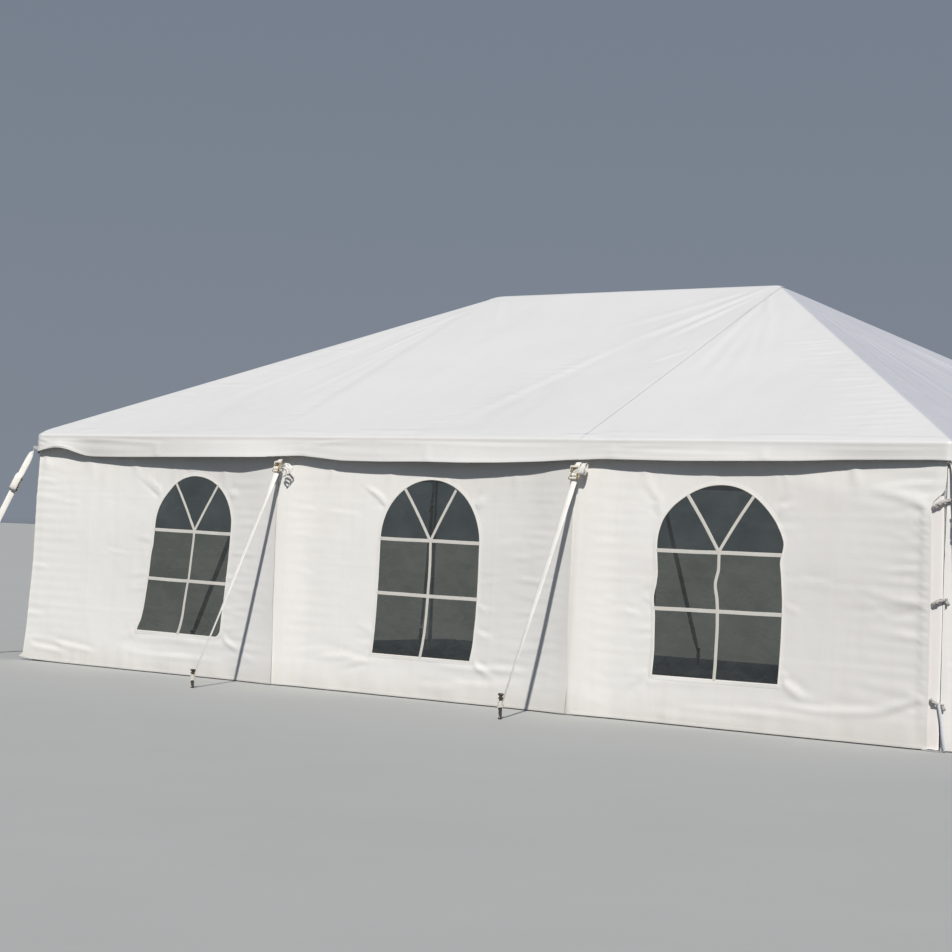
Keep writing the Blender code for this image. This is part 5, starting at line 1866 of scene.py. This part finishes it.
def guy(tag, x, y, reach, seed):
    corner = abs(x) > LEG_X - 0.01 and abs(y) > 0.01
    out = unit((0 if abs(x) < LEG_X - 0.01 else math.copysign(1, x),
                0 if abs(y) < 0.01 else math.copysign(1, y), 0))
    lat = np.cross((0, 0, 1.0), out)
    up_ = np.array([0, 0, 1.0])
    base = np.array([x, y, 0.0])
    at = lambda u, z, w=0.0: base + out * u + up_ * z + lat * w
    lug = 0.082 if corner else 0.066
    top = lug - 0.008
    head_x, foot_x, stake_x = ASKEW.get(tag, (0.0, 0.0, 0.0))
    sunk = 0.80 if tag == "front_mid_left" else 1.0
    bend = at(top + 0.028, 1.915, head_x)
    foot = at(reach - 0.004, 0.135 * sunk, foot_x)
    run = unit(foot - bend)
    nrm = unit(np.cross(lat, run))
    if nrm[2] < 0:
        nrm = -nrm
    rs = np.random.RandomState(seed)
    centre = bend + run * (0.300 if corner else 0.072)
    size = 0.98 if tag == "front_mid_left" else 1.16   # of the ratchet
    half_len = 0.056 * size
    wide_half = 0.028 if corner else STRAP_HALF
    cloth, zinc, dark, grips = Pile(), Pile(), Pile(), Pile()
    lat0, nrm0 = lat, nrm
    if tag == "front_left":
        # this one hangs rolled over on its side
        roll = math.radians(82)
        lat = unit(lat0 * math.cos(roll) - nrm0 * math.sin(roll))
        nrm = unit(nrm0 * math.cos(roll) + lat0 * math.sin(roll))

    # short strap: sewn loop over the ring at the lug, down to the fixed bolt
    bolt = centre - run * (half_len - 0.010 * size)
    down = [at(top, 1.962, head_x), at(top + 0.012, 1.94, head_x),
            bend + nrm0 * 0.001]
    if corner:
        down += [bend + run * 0.10, bend + run * 0.20]
    down += [bolt + nrm * 0.0065 - run * 0.004, bolt + nrm * 0.0062 + run * 0.004]
    pth = path_through(down, 40 if corner else 26)
    turn = smooth(-0.08, 0.66, np.linspace(0, 1, len(pth)))[:, None]
    ribbon(cloth, pth, lat0[None] * (1 - turn) + lat[None] * turn,
           half=wide_half, cup=0.0015)
    back_ply = [at(top - 0.0040, 1.962, head_x), at(top + 0.0078, 1.94, head_x),
                bend - nrm0 * 0.0028]
    if corner:
        back_ply += [bend + run * 0.09 - nrm0 * 0.003,
                     bend + run * 0.19 - nrm * 0.003]
    back_ply += [bolt - nrm * 0.0062 - run * 0.003, bolt - nrm * 0.006 + run * 0.003]
    pth = path_through(back_ply, 34)
    turn = smooth(-0.08, 0.66, np.linspace(0, 1, len(pth)))[:, None]
    ribbon(cloth, pth, lat0[None] * (1 - turn) + lat[None] * turn,
           half=wide_half)
    ring = np.linspace(0, 2 * math.pi, 25)
    a = at(top - 0.002, 1.9655, head_x * 0.70)
    broad = 0.028 + head_x * 0.32
    hoop = [a + lat0 * broad * math.cos(t) + up_ * (0.0075 * math.sin(t))
            for t in ring]
    zinc.tube(hoop, 0.0032, 8, caps=False)
    # shackle that holds the ring in the lug
    hoop = [at(lug - 0.010, 1.976) + up_ * 0.0155 * math.sin(t) + lat0 *
            0.0100 * math.cos(t) for t in ring]
    zinc.tube(hoop, 0.0028, 8, caps=False)

    # ratchet: side plates, spool, toothed wheels, handle, pawl
    L = lambda l, n=0.0, w=0.0: (centre + run * (l * size) + nrm * (n * size)
                                 + lat * (w * size))
    big = lambda pts: [(p_ * size, q_ * size) for p_, q_ in pts]
    plate = rounded(big([(-0.056, -0.011), (-0.048, 0.013),
                         (-0.008, 0.016), (0.018, 0.025), (0.044, 0.021),
                         (0.056, 0.004), (0.050, -0.016),
                         (0.012, -0.019), (-0.044, -0.016)]), 0.008)
    for w in (-0.0245, 0.0245):
        zinc.plate(plate, L(0, 0, w), run, nrm, 0.0026, 0.0006)
    floor_ = rounded(big([(-0.0235, -0.024), (0.0235, -0.024),
                          (0.0235, 0.024), (-0.0235, 0.024)]), 0.004)
    dark.plate(floor_, L(0.012, -0.004), lat, run, 0.0024, 0.0006)
    axle = L(0.024, 0.0)
    gear = []
    teeth = 11
    for i in range(teeth * 4):
        r = (0.0185, 0.0185, 0.0135, 0.0145)[i % 4] * size
        t = 2 * math.pi * i / (teeth * 4)
        gear.append((r * math.cos(t), r * math.sin(t)))
    for w in (-0.0272, 0.0272):
        dark.plate(gear, L(0.024, 0.0, w), run, nrm, 0.0026, 0.0004)
    dark.lathe(L(0.024, 0, -0.033), lat, big([
        (0, 0.0045), (0.001, 0.0065), (0.004, 0.0068), (0.0045, 0.0085),
        (0.0615, 0.0085), (0.062, 0.0068), (0.065, 0.0065), (0.066, 0.0045)]), 16)
    dark.lathe(L(-0.046, 0, -0.0285), lat, big([
        (0, 0.004), (0.001, 0.0062), (0.003, 0.0062), (0.0032, 0.0045),
        (0.0540, 0.0045), (0.0542, 0.0062), (0.056, 0.0062),
        (0.057, 0.004)]), 14)
    # bar across the lower end, cream between two caps
    covered = tag == "front_left"
    (dark if covered else grips).lathe(L(0.052, 0.006, -0.031), lat, big([
        (0, 0.0050), (0.0008, 0.0082), (0.0310, 0.0086), (0.0612, 0.0082),
        (0.0620, 0.0050)]), 16)
    for w in (-0.0350, 0.0275):
        dark.lathe(L(0.052, 0.006, w), lat, big([
            (0, 0.0060), (0.0008, 0.0092), (0.0065, 0.0096), (0.0075, 0.0086)]),
            14)
    # handle, hinged on the spool, folded back towards the head
    open_ = {"front_mid_right": 0.36, "front_mid_left": 0.30}.get(
        tag, rs.uniform(0.12, 0.35))
    hx = unit(-run * math.cos(open_) + nrm * math.sin(open_))
    hn = unit(np.cross(lat, hx))
    if hn @ nrm < 0:
        hn = -hn
    arm_l = {"front_mid_left": 0.62, "front_mid_right": 0.62,
             "front_left": 0.80}.get(tag, 1.0)
    if covered:
        # the spare webbing is folded down over it and tucked in at both ends
        over = path_through([L(-0.082, 0.006), L(-0.074, 0.022), L(-0.052, 0.040),
                             L(-0.010, 0.043), L(0.030, 0.040), L(0.052, 0.030),
                             L(0.058, 0.016)], 44)
        ribbon(cloth, over, lat, half=0.031, cup=0.006)
        inner = path_through([L(-0.066, 0.012), L(-0.050, 0.034), L(-0.010, 0.037),
                              L(0.034, 0.033), L(0.046, 0.020)], 34)
        ribbon(cloth, inner, lat, half=0.030, cup=0.005)
    arm = rounded(big([(-0.016, -0.010), (-0.016, 0.010), (0.020, 0.015),
                       (0.066 * arm_l, 0.014), (0.088 * arm_l, 0.008),
                       (0.090 * arm_l, -0.003), (0.062 * arm_l, -0.002),
                       (0.018, -0.012)]), 0.007)
    for w in (-0.0305, 0.0305):
        zinc.plate(arm, axle + lat * (w * size), hx, hn, 0.0024, 0.0006)
    (dark if covered else grips).lathe(
        axle + hx * (0.086 * arm_l * size) + hn * (0.003 * size)
                - lat * (0.037 * size), lat, big([
        (0, 0.0050), (0.0015, 0.0086), (0.012, 0.0090), (0.037, 0.0082),
        (0.062, 0.0090), (0.0725, 0.0086), (0.074, 0.0050)]), 16)
    # pawl plate and its spring rod
    pawl = rounded(big([(-0.020, -0.010), (0.020, -0.010), (0.015, 0.013),
                        (-0.015, 0.013)]), 0.003)
    dark.plate(pawl, L(-0.006, 0.014), lat, unit(run * 0.8 - nrm * 0.45),
               0.0022, 0.0005)
    dark.tube([L(-0.018, 0.012, -0.030), L(-0.018, 0.012, 0.030)], 0.0030, 8)
    # webbing wound on the spool
    t = np.linspace(0, 2 * math.pi * 2.6, 84)
    rr = (0.0092 + 0.0024 * t / (2 * math.pi)) * size
    coil = [axle + run * (r_ * math.cos(a_ + 2.4)) + nrm * (r_ * math.sin(a_ + 2.4))
            for r_, a_ in zip(rr, t)]
    ribbon(cloth, coil, lat, half=0.0225)
    last = coil[-1]

    # the long strap to the stake: flat at the head, turning on edge below
    start = L(0.030, -0.0135)
    n = 70
    f = np.linspace(0, 1, n)
    line = start[None] * (1 - f)[:, None] + foot[None] * f[:, None]
    sag = {"front_mid_left": 0.010, "front_mid_right": 0.007}.get(tag, 0.008)
    line = line - up_[None] * (sag * np.sin(math.pi * f))[:, None]
    line += lat[None] * (0.003 * Ripple(seed)(f * 4.0, 0.3) * smooth(0, .1, f)
                         * smooth(0, .1, 1 - f))[:, None]
    into = unit(np.cross(run, lat))
    if into @ out > 0:
        into = -into                      # points inwards and down
    turn_sign = 1.0 if tag in ("front_mid_left", "front_mid_right",
                               "back_mid_left", "back_mid_right") else \
        rs.choice([-1.0, 1.0])
    camside = lat @ np.array([1.0, 0, 0])
    if abs(camside) > 0.5:
        turn_sign *= math.copysign(1.0, camside)
    phi = -(math.radians(46) * smooth(0.16, 0.52, f)
            + math.radians(44) * smooth(0.86, 1.0, f)) * turn_sign
    if tag == "front_mid_left":
        phi = np.radians(14 - 29 * smooth(0.02, 0.16, f)
                         - 13 * smooth(0.55, 0.74, f))
    elif tag == "front_mid_right":
        phi = np.radians(7 - 21 * smooth(0.04, 0.35, f)
                         - 23 * smooth(0.52, 0.95, f))
    elif tag == "front_left":
        phi = np.radians(-20 * smooth(0.5, 0.9, f))
    else:
        phi += math.radians(5) * Ripple(seed + 1)(f * 5.0, 0.7)
    wide = (lat[None] * np.cos(phi)[:, None] + into[None] * np.sin(phi)[:, None])
    cup = 0.0050 * (1 - smooth(0.02, 0.30, f)) * smooth(0.0, 0.05, f) + 0.0015
    half = wide_half * (1 - 0.06 * smooth(0.3, 0.9, f))
    lead = path_through([last, L(0.034, -0.017), start + run * 0.002], 8)
    ribbon(cloth, lead[:-1], lat, half=0.0225)
    ribbon(cloth, line, wide, half=half, cup=cup)
    # round the stake, under its flange
    stake = at(reach, 0.0, stake_x)
    t = np.linspace(0, 2 * math.pi * 1.7, 60)
    hold = [stake + (-out * math.cos(a_) + lat * turn_sign * math.sin(a_))
            * (0.0158 + 0.0007 * a_) + up_ * (0.128 * sunk - 0.0035 * a_
                                              + 0.002 * math.sin(3 * a_))
            for a_ in t]
    ribbon(cloth, hold, up_, half=np.linspace(0.016, 0.011, 60), cup=0.001,
           thick=1.6)
    drop = up_ * (hold[-1][2] - 0.008)
    tail_end = path_through([hold[-1], hold[-1] + lat * 0.012 - drop * 0.26
                             - out * 0.006, hold[-1] + lat * 0.016 - drop * 0.70
                             - out * 0.004, hold[-1] + lat * 0.030 - drop
                             + out * 0.004], 22)
    ribbon(cloth, tail_end, unit(up_ * 0.3 + out), half=0.011)
    # sewn loop at the strap's foot: second ply over the last stretch
    k0 = n - 14
    ribbon(cloth, line[k0:] + nrm * 0.0026, wide[k0:], half=half[k0:], cup=0.001)

    # the spare tail of webbing
    if tag == "front_mid_left":
        s0 = L(0.030, -0.004, 0.0)
        right_ = lat if lat[0] > 0 else -lat
        P = lambda a, b, c: (centre + right_ * (a * 0.92 + 0.020)
                             + up_ * (b * 1.05 - 0.004) + out * c)
        loops = [(0.020, -0.004, 0.006), (0.060, 0.014, 0.014),
                 (0.100, 0.020, 0.008), (0.140, 0.006, 0.016),
                 (0.158, -0.022, 0.010), (0.132, -0.044, 0.020),
                 (0.098, -0.030, 0.030), (0.064, -0.006, 0.028),
                 (0.096, 0.012, 0.036), (0.138, -0.012, 0.030),
                 (0.128, -0.056, 0.020), (0.092, -0.066, 0.026),
                 (0.056, -0.042, 0.020), (0.076, -0.014, 0.044),
                 (0.120, -0.024, 0.042), (0.112, -0.060, 0.036),
                 (0.082, -0.084, 0.014)]
        pth = path_through([P(*q) for q in loops], 190)
        g = np.linspace(0, 1, 190)
        wid = [unit(out * math.cos(3.1 * q * 6) * 0.8 + up_ * 0.30
                    + right_ * math.sin(2.3 * q * 6) * 0.6) for q in g]
        ribbon(cloth, pth, wid, half=0.0078, cup=0.0012)
    elif tag != "front_left":
        side = rs.choice([-1.0, 1.0])
        if tag == "front_mid_right":
            side = 1.0 if lat[0] > 0 else -1.0
        s0 = axle + nrm * 0.012
        w0 = lat * side
        hang = rs.uniform(0.16, 0.30)
        if tag == "front_mid_right":
            # folded back and tucked into a flat roll beside the ratchet
            t = np.linspace(0, 2 * math.pi * 3.2, 110)
            rr = 0.006 + 0.0031 * t / (2 * math.pi) * 1.9
            c0 = L(-0.016, 0.014, side * 0.064)
            roll = [c0 + run * (r_ * 2.2 * math.cos(a_)) + nrm *
                    (r_ * 1.1 * math.sin(a_)) for r_, a_ in zip(rr, t)]
            ribbon(cloth, roll, unit(w0 + nrm * 0.10), half=0.0205, cup=0.001)
            pth = path_through([s0, s0 + w0 * 0.012 + nrm * 0.010 - run * 0.012,
                                c0 + nrm * 0.020 + run * 0.012,
                                c0 + nrm * 0.024 - run * 0.008], 24)
            ribbon(cloth, pth, lat, half=0.018)
        else:
            pts = [s0, s0 + nrm * 0.014 + run * 0.010, s0 + nrm * 0.020
                   + run * 0.045, s0 + nrm * 0.010 + run * 0.08
                   + w0 * 0.01, s0 + nrm * 0.010 + run * (0.06 + hang * 0.5)
                   + w0 * 0.018 - up_ * 0.01,
                   s0 + nrm * 0.006 + run * (0.07 + hang * 0.8)
                   + w0 * 0.022 - up_ * 0.02]
            pth = path_through(pts, 60)
            g = np.linspace(0, 1, 60)
            wid = [unit(lat * math.cos(1.2 * q) + nrm * math.sin(1.2 * q))
                   for q in g]
            ribbon(cloth, pth, wid, half=0.019, cup=0.002)

    strap = cloth.make("guy_strap_" + tag, WEB, "strap_webbing", sharp=50)
    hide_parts("guy_" + tag)
    zinc.make("guy_ratchet_" + tag, ZINC, sharp=40)
    dark.make("guy_ratchet_works_" + tag, BRONZE, sharp=40)
    if grips.v:
        grips.make("guy_ratchet_grips_" + tag, GRIP, sharp=40)
    # forged stake: flange for the strap, hammered head
    steel = Pile()
    steel.lathe(stake, up_, [(0.0, 0.0122), (0.004, 0.0128), (0.060, 0.0130),
                             (0.146, 0.0126), (0.1485, 0.0140),
                             (0.1500, 0.0195), (0.1530, 0.0212),
                             (0.1565, 0.0205), (0.1580, 0.0150),
                             (0.1600, 0.0124), (0.1700, 0.0122),
                             (0.1725, 0.0150), (0.1745, 0.0198),
                             (0.1790, 0.0216), (0.1850, 0.0212),
                             (0.1885, 0.0180), (0.1897, 0.0110),
                             (0.1893, 0.0040)], 22)
    v = steel.v[0]
    v[:, 2] *= sunk                       # driven deeper
    rim = np.hypot(v[:, 0] - stake[0], v[:, 1] - stake[1])
    dent = 0.0006 * Ripple(seed + 9)(np.arctan2(v[:, 1] - stake[1],
                                                v[:, 0] - stake[0]) * 2.5,
                                     v[:, 2] * 60)
    k = (rim > 0.015)[:, None]
    v[:, :2] += np.where(k, (v[:, :2] - stake[:2]) * (dent / 0.02)[:, None], 0)
    steel.make("guy_stake_" + tag, STAKE, sharp=40)


for i, (tag, (lx, ly)) in enumerate(LEGS.items()):
    guy(tag, lx, ly, REACH.get(tag, 0.900), 601 + 13 * i)

# ------------------------------------------------- ties at the near right corner
def corner_wrap():
    """Fabric flap folded flat round the corner leg, tied in three places."""
    cx, cy = LEG_X, -LEG_Y
    # cross-section, seen from above: from behind the wall's edge across the
    # leg's face and round its outer side
    sec = path_through([(cx - 0.0975, cy - 0.0290), (cx - 0.0850, cy - 0.0320),
                        (cx - 0.0700, cy - 0.0345), (cx - 0.0400, cy - 0.0365),
                        (cx - 0.0100, cy - 0.0375), (cx + 0.0040, cy - 0.0365),
                        (cx + 0.0095, cy - 0.0330), (cx + 0.0080, cy - 0.0290),
                        (cx + 0.0000, cy - 0.0275)], 40)
    zs = np.linspace(0.012, 1.735, 108)
    r = Ripple(881)
    mid = np.array([cx - 0.03, cy - 0.010])
    rows = []
    for z in zs:
        pinch = sum(math.exp(-((z - t) / 0.030) ** 2) for t in TIE_HEIGHTS)
        d = sec - mid
        a = np.arctan2(d[:, 1], d[:, 0])
        far = np.linspace(0, 1, len(sec))
        free = smooth(0.35, 0.6, far)
        wob = free * (0.0010 * r(a * 1.2, z * 3.0) + 0.0006 * r(a * 3, z * 9.0)
                      + 0.0010 * pinch * np.cos(a * 9 + z * 40))
        q = sec + d * (wob / 0.036)[:, None]
        slide = np.interp(z, (0.0, 1.0, 1.66, 1.735),
                          (0.024, 0.016, 0.003, 0.0))
        q = q + np.array([1.0, 0.0]) * (slide * free)[:, None]
        q[:, 1] -= 0.0012 * pinch * free
        rows.append(np.column_stack([q, np.full(len(q), z)]))
    rows = np.array(rows)
    n, m = rows.shape[:2]
    idx = np.arange(n * m).reshape(n, m)
    quads = np.stack([idx[:-1, :-1], idx[:-1, 1:], idx[1:, 1:], idx[1:, :-1]],
                     -1).reshape(-1, 4)
    ob = build("corner_flap", rows.reshape(-1, 3), [quads], FLAP,
               slot="wall_vinyl")
    face_out(ob, 1, -1)
    return ob


flap = corner_wrap()


def rag_tie(name, z, seed, tail, rise, x0):
    """A twisted rag from a hole in the front wall's hem at x0 across the flap
    to the end wall's edge, with its knot and tails."""
    k = rise / 0.030
    end = np.array([4.588, -3.050, z + rise] if x0 > 4.48 else
                   [4.612, -3.030, z + rise * 1.1])
    pts = [(x0 + 0.006, -3.050, z), (x0, -3.066, z),
           (x0 + 0.012, -3.079, z - 0.003 * k), (x0 + 0.034, -3.084,
                                                 z + 0.006 * k),
           (4.540, -3.084, z + 0.016 * k), (4.566, -3.078, z + 0.025 * k),
           end, end + (0.002, 0.014, 0.0)]
    path = path_through(pts, 90)
    g = np.linspace(0, 1, 90)
    r = np.interp(g, (0, 0.12, 0.30, 0.50, 0.72, 0.9, 1.0),
                  (0.004, 0.006, 0.0095, 0.0130, 0.0116, 0.009, 0.006))
    r = r * (1 + 0.12 * np.sin(g * 31 + seed) + 0.08 * np.sin(g * 67 + seed))
    cloth = Pile()
    cloth.tube(path, r, 14, flat=0.60)
    # second strand wound loosely round the first
    tan = np.gradient(path, axis=0)
    tan /= np.linalg.norm(tan, axis=1)[:, None]
    n1 = np.cross(tan, (0, 0, 1.0))
    n1 /= np.linalg.norm(n1, axis=1)[:, None]
    n2 = np.cross(tan, n1)
    ang = g * 2 * math.pi * 3.2 + seed
    wind = path + n1 * (np.cos(ang) * r * 0.52)[:, None] \
        + n2 * (np.sin(ang) * r * 0.86)[:, None]
    cloth.tube(wind[4:-4], 0.0044 + 0.0008 * np.sin(g[4:-4] * 40), 8, flat=0.7)
    # knot beside the end wall's edge
    k0 = end + (0.004, -0.004, 0.0)
    t = np.linspace(0, 2 * math.pi, 60)
    knot = np.stack([np.sin(t) + 2 * np.sin(2 * t), np.cos(t) - 2 * np.cos(2 * t),
                     -1.2 * np.sin(3 * t)], 1) * 0.0038
    cloth.tube(k0 + knot[:, [2, 0, 1]], 0.0046, 8, caps=False)
    # tails
    for s, long in ((1, 0.008), (-1, 0.016)):
        q = path_through([k0, k0 + (0.010, -0.012 * s, -0.02),
                          k0 + (0.012, -0.018 * s, -0.02 - long * 0.6),
                          k0 + (0.006, -0.020 * s, -0.02 - long)], 20)
        ribbon(cloth, q, unit((0.3, 1, 0.1 * s)), half=np.linspace(0.007, 0.011, 20),
               cup=0.002)
    if tail:
        # a long one opens out down to the ground
        q = path_through([(4.572, -3.078, z + 0.022 * k), (4.584, -3.084, z - 0.06),
                          (4.600, -3.088, 0.22), (4.616, -3.088, 0.11),
                          (4.636, -3.084, 0.012)], 60)
        tail_cloth = Pile()
        ribbon(tail_cloth, q, unit((1.0, -0.25, 0.0)),
               half=np.linspace(0.010, 0.0175, 60) * (1 + 0.08 * np.sin(np.linspace(0, 9, 60))),
               cup=np.linspace(0.002, 0.006, 60))
        tail_cloth.make(name + "_tail", RAG_TAIL, sharp=70)
    cloth.make(name, RAG, sharp=70)


for i, z in enumerate(TIE_HEIGHTS):
    rag_tie("corner_tie_%d" % (i + 1), z, 901 + i, i == 2,
            (0.048, 0.030, -0.030)[i], (4.474, 4.494, 4.504)[i])


# ----------------------------------------------------- ropes on the eave tubes
def rope_set(name, places):
    """Rope loops over an eave tube: places is a list of (point on the axis,
    along, the point below that it holds)."""
    pile = Pile()
    for k, (c, along, hold, big) in enumerate(places):
        c, along, hold = np.array(c, float), unit(along), np.array(hold, float)
        rad = 0.0345 if big else 0.0288
        out = unit(np.cross(along, (0, 0, 1.0)))
        t = np.linspace(0, 2 * math.pi, 33)
        drift = 0.004 * np.sin(t + k)
        loop = [c + out * rad * math.cos(a) + np.array([0, 0, 1.0]) * rad *
                math.sin(a) + along * d for a, d in zip(t, drift)]
        pile.tube(loop, 0.0033, 7, caps=False)
        low = c - np.array([0, 0, rad + 0.004])
        t = np.linspace(0, 2 * math.pi, 37)
        knot = np.stack([np.sin(t) + 2 * np.sin(2 * t),
                         np.cos(t) - 2 * np.cos(2 * t), -np.sin(3 * t)],
                        1) * 0.0031
        pile.tube(low + knot, 0.0031, 6, caps=False)
        for s in (-1, 1):
            mid = (low + hold) / 2 + along * 0.006 * s
            pile.tube(path_through([low + along * 0.003 * s, mid,
                                    hold + along * 0.004 * s], 12), 0.0031, 7)
        tail = path_through([low, low + along * 0.012 - (0, 0, 0.014),
                             low + along * 0.016 - (0, 0, 0.05 + 0.01 * (k % 3))],
                            12)
        pile.tube(tail, 0.0030, 7)
    return pile.make(name, ROPE, sharp=70)


def eave_places(side):
    places = []
    if side in ("front", "back"):
        y = -LEG_Y if side == "front" else LEG_Y
        for x in np.arange(-4.2, 4.21, 0.6):
            if min(abs(x - p) for p in (-LEG_X, -MID_X, MID_X, LEG_X)) < 0.16:
                continue
            inner = y + (0.020 if y < 0 else -0.020)
            places.append(((x, y, EAVE_Z), (1, 0, 0),
                           (x, y * 1.0 + math.copysign(0.030, y), 2.035)
                           if side == "front" else
                           (x, y + math.copysign(0.062, y), 2.045), False))
    else:
        x = -LEG_X if side == "left" else LEG_X
        for y in np.arange(-2.7, 2.71, 0.6):
            if min(abs(y - p) for p in (-LEG_Y, 0.0, LEG_Y)) < 0.16:
                continue
            places.append(((x, y, EAVE_Z), (0, 1, 0),
                           (x + math.copysign(0.030 if side == "right" else 0.062,
                                              x), y,
                            2.035 if side == "right" else 2.045), False))
    return places


for side in ("front", "back", "left", "right"):
    rope_set("eave_ropes_" + side, eave_places(side))


# ----------------------------------------------------------- bolts and ground pins
def bolt_through(pile, point, axis, reach):
    """A hex bolt with washer and nut across a sleeve."""
    axis = unit(axis)
    hexa = [(0, 0.0088), (0.0005, 0.0094), (0.0052, 0.0094), (0.0058, 0.0080)]
    point = np.asarray(point, float)
    pile.lathe(point + axis * reach, axis, [(0, 0.0118), (0.0016, 0.0118),
                                            (0.0018, 0.0085)], 16)
    pile.lathe(point + axis * (reach + 0.0018), axis, hexa, 6)
    pile.lathe(point - axis * reach, -axis, [(0, 0.0118), (0.0016, 0.0118),
                                             (0.0018, 0.0085)], 16)
    pile.lathe(point - axis * (reach + 0.0018), -axis, hexa, 6)
    pile.lathe(point - axis * (reach + 0.0070), -axis,
               [(0, 0.0050), (0.0050, 0.0050), (0.0058, 0.0040)], 10)


hard = Pile()
for tag, (x, y) in LEGS.items():
    c = np.array([x, y, EAVE_Z])
    dx = 0.0 if abs(x) < LEG_X - 0.01 else -math.copysign(1.0, x)
    dy = 0.0 if abs(y) < 0.01 else -math.copysign(1.0, y)
    upw = unit((dx, dy, PITCH))
    level = unit(np.cross(upw, (0, 0, 1.0)))
    bolt_through(hard, c + upw * 0.104, level, 0.0292)
    if dx and dy:
        runs = [(dx, 0, 0), (0, dy, 0)]
    elif dy:
        runs = [(1, 0, 0), (-1, 0, 0)]
    else:
        runs = [(0, 1, 0), (0, -1, 0)]
    for r_ in runs:
        axis = np.cross(r_, (0, 0, 1.0))
        # a bolt across each arm of the fitting
        p = c + np.array(r_) * 0.104
        bolt_through(hard, p, axis, 0.0295)
    bolt_through(hard, (x, y, 2.012), unit((-dy, dx, 0)) if (dx or dy) else (1, 0, 0),
                 0.0300)
for sx in (-1, 1):
    c = np.array([sx * MID_X, 0, RIDGE_Z])
    bolt_through(hard, c + np.array([-sx, 0, 0]) * 0.122, (0, 1, 0), 0.0296)
    for d in ((0, -1), (0, 1), (sx, -1), (sx, 1), (sx, 0)):
        v = unit((*d, -PITCH))
        bolt_through(hard, c + v * 0.122, unit(np.cross(v, (0, 0, 1.0))), 0.0290)
hard.make("frame_bolts", BOLT, sharp=35)

pins = Pile()
for tag, (x, y) in LEGS.items():
    for s in (1, -1):
        px, py = x + s * 0.053, y + s * 0.053
        walled = (abs(py + 3.0515) < 0.045) or (px > 4.53 and tag != "left_end")
        if walled:
            continue
        pins.lathe((px, py, 0.0), (0, 0, 1),
                   [(0.0, 0.0070), (0.0062, 0.0072), (0.0066, 0.0150),
                    (0.0085, 0.0162), (0.0120, 0.0155), (0.0148, 0.0110),
                    (0.0156, 0.0040)], 18)
pins.make("ground_pins", STAKE, sharp=40)

# ------------------------------------------------------------------ CAD nodes
for name, ob in NODES.items():
    kind = name.split("_")[0]
    if kind in ("leg", "eave", "crown", "ridge", "hip", "rafter"):
        for slot_ in ob.material_slots:
            slot_.material = ALU
